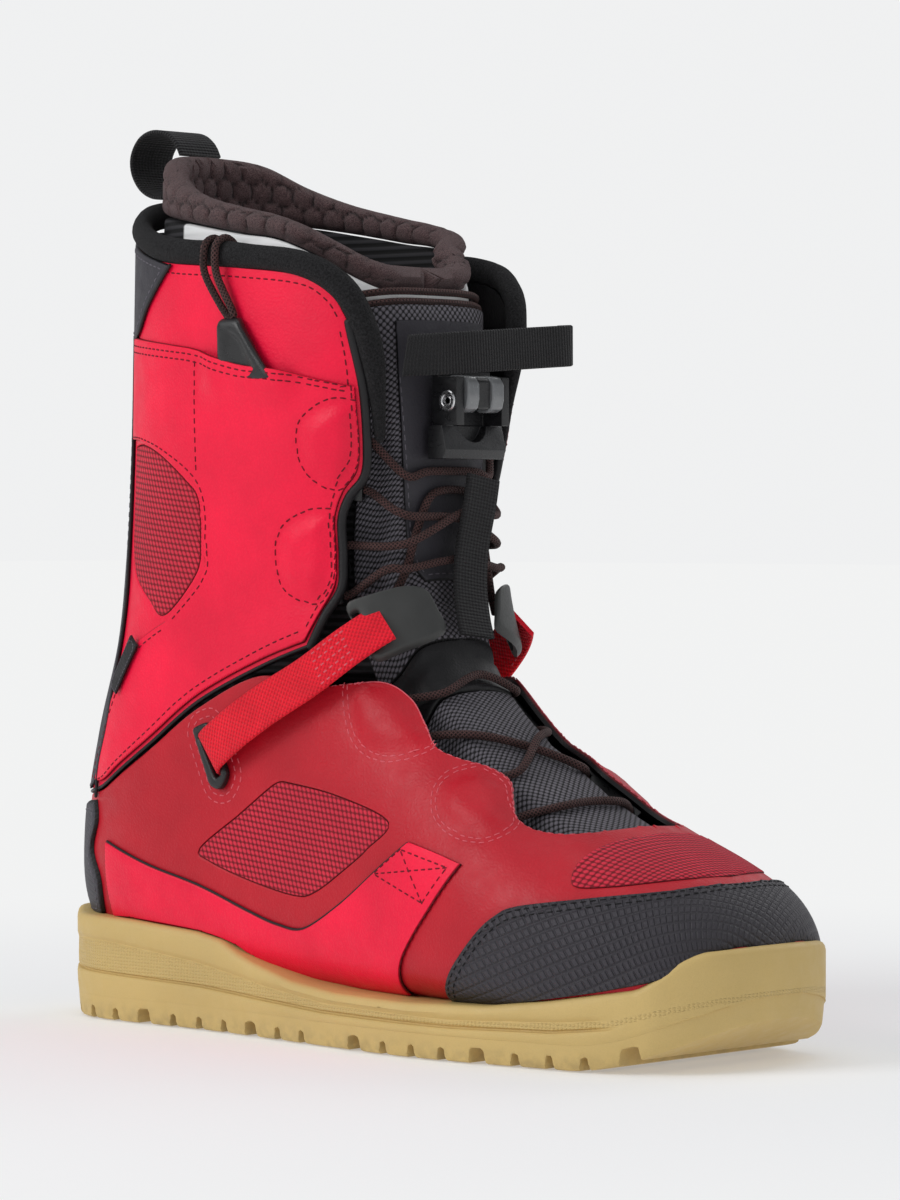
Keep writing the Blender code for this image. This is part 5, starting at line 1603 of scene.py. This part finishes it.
def plate_and_keeper(side, name):
    outline = rounded(((-4.2, 142), (13.6, 148), (20, 129.6), (9, 122)), 4.0, side)
    slot = rounded(((-1.4, 138.4), (0.8, 139.8), (9.4, 126.6), (7.4, 125.2)), 0.9, side)
    plate = layer(f"hook_plate_moulding_{name}", "plate_grey", [outline, slot], 2.4, 4.7, grid=2.0,
                  rings=(0.3, 0.7, 1.2), rim=1.1)
    stand_in(plate, "cuff", f"hook_plate_{name}")
    outline = rounded(((-66, 101.5), (-58.6, 104), (-49.4, 86.4), (-52.6, 81), (-57.4, 82)), 2.2, side)
    hole = rounded(((-62.6, 99.6), (-59.2, 101), (-52.2, 86.4), (-54.6, 85)), 0.9, side)
    keeper = layer(f"strap_keeper_moulding_{name}", "black_plastic", [outline, hole], 0.5, 2.9, grid=2.0,
                   rings=(0.3, 0.7, 1.2), rim=1.0)
    stand_in(keeper, "boot", f"strap_keeper_{name}")
    shell = bpy.data.objects["lower_shell_leather"]
    rings = [skin(outset(outline, distance), 1.0) for distance in (2.2, 4.8)]
    sew(f"keeper_stitches_{name}", "boot", "thread_pink", [shell], split_gaps(rings), thick=0.45)


def rounded(corners, radius, side):
    """Closed loop of places round the corners of a polygon in side view, with rounded corners."""
    corners = np.array(corners, float)
    ring = []
    for before, corner, after in zip(np.roll(corners, 1, 0), corners, np.roll(corners, -1, 0)):
        start = corner + unit(before - corner) * min(radius, np.linalg.norm(before - corner) * 0.45)
        end = corner + unit(after - corner) * min(radius, np.linalg.norm(after - corner) * 0.45)
        ring += [start * (1 - t) ** 2 + corner * 2 * t * (1 - t) + end * t ** 2 for t in np.linspace(0, 1, 6)]
    run = []
    for start, end in zip(ring, ring[1:] + ring[:1]):
        steps = max(1, round(np.linalg.norm(end - start) / 1.4))
        run += [start + (end - start) * step / steps for step in range(steps)]
    run = np.array(run)
    station, turn = turn_at(run[:, 0], run[:, 1])
    return place_of(station, np.maximum(turn, 0.01) * side)


def power_strap():
    run = ((26.5, 36.6), (30, 37.4), (32.6, 36), (33, 32), (31.5, 24), (29.5, 10), (27.5, -6), (24, -20),
           (19, -31))
    path = smooth([(x, y, 227 + 0.07 * y) for x, y in run], 1.5)
    strap = sweep("power_strap_webbing", "black_webbing", path, strap_section(13.8), up=along_wall(path))
    for vertex in strap.data.vertices:
        slant = ramp(-vertex.co.y / MM, 12, 31) * (vertex.co.z / MM - 224.8) * 0.3
        vertex.co.y += slant * MM
    stand_in(strap, "strap", "power_strap")
    run = ((10.4, 11), (10.8, 16), (13.5, 21.5), (19, 27.5), (25, 31.6), (29.4, 35.9))
    path = smooth([(x, y, 227.6 + 0.07 * (y - 20)) for x, y in run], 1.5)
    anchor = sweep("strap_anchor_webbing", "black_webbing", path, strap_section(12.4), up=along_wall(path))
    stand_in(anchor, "cuff", "strap_anchor")


def along_wall(path):
    """Normals that stand a strap's width upright."""
    return np.cross((0, 0, 1), np.gradient(path, axis=0))


PULLER_X = -40
CORD_X = -47


def puller():
    """Wedge with a drop-shaped hollow, tucked into the pocket."""
    leather = on_side(PULLER_X, 229, LATERAL)[1]
    # height, rear edge, front edge, thickness
    rows = ((217.6, -5.5, 18.4, 2.2), (218.4, -5.8, 18.2, 2.5), (221, -5.8, 16.6, 2.8),
            (226, -5.6, 12.8, 3.4),
            (231, -5.2, 9.4, 3.9), (235, -5.0, 6.6, 4.1), (237, -4.4, 5.4, 3.6), (238.2, -3.0, 4.0, 2.0))
    rows = smooth(rows, 1.2)
    # part of the way from the rear edge to the front one, and share of the thickness there
    profile = ((0.0, 0.0), (0.0, 0.55), (0.03, 0.82), (0.10, 0.97), (0.2, 1.0), (0.32, 1.0), (0.42, 1.0),
               (0.5, 1.0), (0.58, 1.0), (0.68, 1.0), (0.8, 1.0), (0.90, 0.97), (0.97, 0.82), (1.0, 0.55),
               (1.0, 0.0))
    points = []
    for z, rear, front, thick in rows:
        for part, share in profile:
            drop = 1.2 * ramp(1.0 - math.hypot((part - 0.5) / 0.3, (z - 226.0) / 8.0), 0.0, 0.25)
            points.append((PULLER_X + rear + (front - rear) * part, leather - 1.0 - thick * share + drop, z))
    size, count = len(profile), len(rows)
    faces = [(a * size + b, a * size + (b + 1) % size, (a + 1) * size + (b + 1) % size, (a + 1) * size + b)
             for a in range(count - 1) for b in range(size)]
    faces += [tuple(range(size)), tuple(range((count - 1) * size, count * size))]
    wedge = finished("puller_wedge", np.array(points), faces, "black_plastic", sharp=60)
    soft = wedge.modifiers.new("round", "SUBSURF")
    soft.levels = 1
    soft.render_levels = 1
    stand_in(wedge, "puller", "puller_handle")
    puller_cord(leather - 2.6)


def puller_cord(grip):
    """Doubled cord from the eyelet in the cuff down to the wedge, where it is at y = grip."""
    face = on_side(CORD_X, 259.7, LATERAL)[1]
    strand = ((4.8, 250.5), (5.1, 254.5), (5.85, 259.7), (4.6, 263.2), (0.9, 264.8), (-2.8, 263.3),
              (-4.2, 259.7),
              (-3.2, 252))
    one = [(CORD_X + 2.6, face + y, z) for y, z in strand]
    other = [(CORD_X - 2.6, face + y, z) for y, z in reversed(strand)]
    turn = [(PULLER_X + 1.6, grip, 239.0), (PULLER_X - 1.6, grip, 239.0)]
    cord = sweep("puller_cord_braid", "brown", smooth([*one, *turn, *other], 1.5), circle(1.3, 10), ends=0.5)
    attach(cord, "cuff")
    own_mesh(cord)
    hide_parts("puller_cord")


LOCK_PIN = np.array((19.6, 2.0, 210.5))


def lock_prism(name, finish, outline, low, high):
    """Bar across the lock with rounded edges; its outline and its ends are counted from the lock's pin."""
    count = len(outline)
    points = [LOCK_PIN + (x, y, z) for y in (low, high) for x, z in outline]
    faces = [tuple(range(count)), tuple(range(count, 2 * count))]
    faces += [(i, (i + 1) % count, (i + 1) % count + count, i + count) for i in range(count)]
    made = finished(name, points, faces, finish, sharp=35)
    bevel = made.modifiers.new("round", "BEVEL")
    bevel.width = 0.6 * MM
    bevel.segments = 3
    return made


def lever():
    """Two prongs with a bridge between them at the top."""
    prong = ((-3, -2.6), (-1, -3.8), (2.6, -3.8), (4.8, -2.4), (5.5, 0.6), (5.5, 5.4), (4.0, 8.0),
             (1.5, 8.5), (-3, 8.5))
    bridge = ((-2.8, 6.4), (2.8, 6.4), (3.2, 8.0), (1.5, 8.4), (-2.8, 8.4))
    return join("lock_fork", [
        lock_prism("lock_fork", "lock_grey", prong, -9, -3.2),
        lock_prism("prong", "lock_grey", prong, 3.2, 9),
        lock_prism("bridge", "lock_grey", bridge, -3.6, 3.6),
    ])


def lock():
    stand_in(softened("lock_body", "black_plastic", "lock_base", bevel=0.6, segments=3), "cuff")
    stand_in(lever(), "lever", "lock_lever")
    catch = ((3.0, -3.0), (4.3, -2.6), (4.5, 6.6), (3.2, 8.0))
    stand_in(lock_prism("lock_catch", "black_plastic", catch, -3.0, 3.0), "lever")
    stand_in(softened("lock_rivet", "steel", "lock_pin", bevel=0.25, segments=2), "cuff")
    profile = ((3.4, -0.3), (3.5, 0.3), (3.2, 0.7), (2.5, 0.8), (1.9, 0.55), (1.8, -0.3))
    for side, name in SIDES:
        axis = np.array((0.0, side, 0.0))
        stand_in(disc(f"lock_washer_{name}", "steel", LOCK_PIN + 13.1 * axis, axis, profile), "cuff")
    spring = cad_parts["lock_spring"]
    spring.data.materials.clear()
    spring.data.materials.append(LOOKS["steel"])


# --- sole -------------------------------------------------------------------------------------------

# half widths of the sole, as x, lateral, medial
SOLE_OUTLINE = np.array((
    (-150, 4, 4), (-147, 16, 16), (-140, 26, 26), (-128, 35.5, 35.5), (-110, 40, 40), (-66, 42, 40),
    (-30, 47, 40), (0, 52, 43), (36, 57, 50), (66, 57, 53), (90, 54.5, 52), (112, 52, 48.5),
    (130, 45.5, 42.5), (137, 40, 38), (143, 32.5, 31.5), (147, 24.5, 24), (150, 14, 14), (151, 8, 8),
), float)
# top edge of the gum cup, as x, z
RIM = np.array((
    (-150, 37), (-142, 37.2), (-135, 35.6), (-100, 35), (-68, 33), (-55, 30.8), (-46, 27), (-38, 24.6),
    (-17, 20),
    (6, 18), (42, 17.5), (75, 18.5), (98, 21.5), (120, 25), (129, 26.4), (135, 30.4), (139, 35), (144, 37.6),
    (151, 38.6),
))
# groove between the outsole's lip and the textured band, and top of that band, as x, z
GROOVE = np.array(((-150, 17), (-66, 14.5), (-30, 12.4), (0, 11), (60, 10.6), (100, 11.5), (120, 13.5),
                   (151, 22)))
BAND_TOP = np.array(((-150, 25), (-130, 27.5), (-110, 27), (-66, 22.5), (-30, 17.2), (0, 14.2), (60, 13.2),
                     (100, 14.8), (120, 16.5), (151, 25)))


def tread_height(x):
    return 15 * np.maximum(0.0, (x - 105) / 46) ** 2


def notches():
    """Grooves across the tread, as the place and width of each."""
    made, x, index = [], -136, 0
    while x < 138:
        wide = 7 if index % 4 == 3 else 4
        if abs(x) > 12:
            made.append((x, wide))
        x += wide + 9
        index += 1
    return made


def sole_columns(extra=()):
    """Places along the sole, the ring of its outline there and the ring's outward directions."""
    line = smooth(SOLE_OUTLINE, 0.5)
    line = line[np.argsort(line[:, 0])]
    steps = np.hypot(np.diff(line[:, 0]), np.diff(line[:, 1]))
    way = np.concatenate([[0], np.cumsum(steps)])
    x = np.interp(np.arange(0, way[-1], 1.8), way, line[:, 0])
    x = np.unique(np.round(np.concatenate([x, [line[-1, 0]], list(extra)]), 2))
    lateral, medial = np.interp(x, line[:, 0], line[:, 1]), np.interp(x, line[:, 0], line[:, 2])
    ring = np.concatenate([np.column_stack((x, -lateral)), np.column_stack((x, medial))[::-1]])
    ahead = np.roll(ring, -1, 0) - np.roll(ring, 1, 0)
    outward = np.column_stack((ahead[:, 1], -ahead[:, 0]))
    outward /= np.linalg.norm(outward, axis=1, keepdims=True)
    smooth_out = sum(np.roll(outward, k, 0) for k in range(-3, 4))
    return x, ring, smooth_out / np.linalg.norm(smooth_out, axis=1, keepdims=True)


def ring_solid(name, rows, half, band=None):
    """Closed solid of stacked rings; the first and the last are spanned from side to side."""
    size = len(rows[0])
    faces = []
    for row in range(len(rows) - 1):
        for step in range(size):
            wrap = (step + 1) % size
            a, b = row * size, (row + 1) * size
            faces.append((a + step, a + wrap, b + wrap, b + step))
    for start in (0, (len(rows) - 1) * size):
        for step in range(half - 1):
            faces.append((start + step, start + step + 1, start + size - 2 - step, start + size - 1 - step))
    points = np.concatenate(rows)
    way = way_along(rows[0][:, :2])
    marks = np.column_stack((np.tile(way, len(rows)), points[:, 2], np.zeros(len(points))))
    return finished(name, points, faces, "gum", marks, band, sharp=32)


def cup_lip(ring, outward, rim):
    """How far in from the outline the cup's lip meets the upper."""
    upper = ("lower_shell_leather", "toe_cap_leather", "heel_cup", "rand_leather_lateral",
             "rand_leather_medial")
    tree = tree_of_pieces([bpy.data.objects[name] for name in upper])
    lip = []
    for spot, away, height in zip(ring, outward, rim):
        start = Vector((*(spot + away * 4), height - 0.4))
        hit = tree.ray_cast(start, Vector((*-away, 0)), 30)[0]
        reach = (Vector((*spot, height - 0.4)) - hit).dot(Vector((*away, 0))) if hit else 6.0
        lip.append(max(reach - 0.25, 2.7))
    lip = np.array(lip)
    return sum(np.roll(lip, k) for k in range(-1, 2)) / 3


def sole_cup():
    x, ring, outward = sole_columns()
    along = ring[:, 0]
    rim = np.interp(along, RIM[:, 0], RIM[:, 1])
    rim = sum(np.roll(rim, k) for k in (-1, 0, 1)) / 3
    groove = np.interp(along, GROOVE[:, 0], GROOVE[:, 1])
    band = np.interp(along, BAND_TOP[:, 0], BAND_TOP[:, 1])
    fade = ramp(along, -146, -132) * (1 - ramp(along, 112, 126))
    bottom = tread_height(along) + 8.02
    # height of each ring, how far inside the outline it lies, and its edge attribute: 0 is the dotted band
    shapes = (
        (bottom, 0.55, 9), (bottom * 0.5 + (groove - 1.6) * 0.5, 0.15, 9), (groove - 1.6, 0.0, 9),
        (groove - 0.7, 0.1, 9), (groove - 0.2, 0.5 * fade, 9), (groove, 1.7 * fade, 9),
        (groove + 0.5, 1.8 * fade, 9), (groove + 0.9, 1.15 * fade, 0),
        (groove * 0.5 + band * 0.5, 1.0 * fade, 0),
        (band - 0.5, 1.25 * fade, 0), (band, 1.3 * fade, 9), (band + 0.7, 0.75 * fade, 9),
        (band + 1.8, 0.1 * fade, 9), (rim - 2.6, 0.0, 9), (rim - 1.3, 0.3, 9), (rim - 0.5, 0.9, 9),
        (rim - 0.1, 1.7, 9), (rim, 2.5, 9),
    )
    rows, masks = [], []
    for height, inwards, mask in shapes:
        place = ring - outward * (np.zeros(len(ring)) + inwards)[:, None]
        rows.append(np.column_stack((place, np.maximum(height, bottom))))
        masks.append(np.full(len(ring), float(mask)))
    lip = cup_lip(ring, outward, rim)
    floor = np.maximum(14.3, tread_height(along) + 9.0)
    for height in (rim - 0.1, rim * 0.5 + floor * 0.5, floor):
        rows.append(np.column_stack((ring - outward * lip[:, None], height)))
        masks.append(np.full(len(ring), NO_EDGE))
    cup = ring_solid("sole_cup", rows, len(x), band=np.concatenate(masks))
    stand_in(cup, "boot", "midsole")


def sole_tread():
    cuts = notches()
    steps = (-0.2, 0.15, 0.5, 0.9)
    extra = [start + step for start, wide in cuts for step in steps]
    extra += [start + wide - step for start, wide in cuts for step in steps]
    x, ring, outward = sole_columns([value for value in extra if -149 < value < 150])
    along = ring[:, 0]
    ground = tread_height(along)
    cut = np.zeros(len(along))
    for start, wide in cuts:
        into = np.minimum(along - start, start + wide - along)
        cut = np.maximum(cut, (5.0 if wide > 4 else 4.4) * ramp(into, -0.1, 1.2))
    # height of each ring, and how far inside the outline it lies
    shapes = ((ground + cut, 2.4), (ground + np.maximum(cut, 0.35), 1.6),
              (ground + np.maximum(cut + 0.05, 1.3), 1.15), (ground + np.maximum(cut + 0.1, 3.6), 0.9),
              (ground + 5.5, 0.7), (ground + 8.0, 0.55))
    rows = [np.column_stack((ring - outward * inwards, height)) for height, inwards in shapes]
    tread = ring_solid("sole_tread", rows, len(x))
    stand_in(tread, "boot", "outsole")


def main():
    camera()
    make_looks()
    studio()
    lower_shell()
    rands()
    toe()
    toe_vent()
    cuff()
    heel_and_back()
    sole_cup()
    sole_tread()
    collar()
    tongue()
    liner()
    laces()
    guides()
    pull_webbing()
    ankle_straps()
    power_strap()
    puller()
    lock()


main()
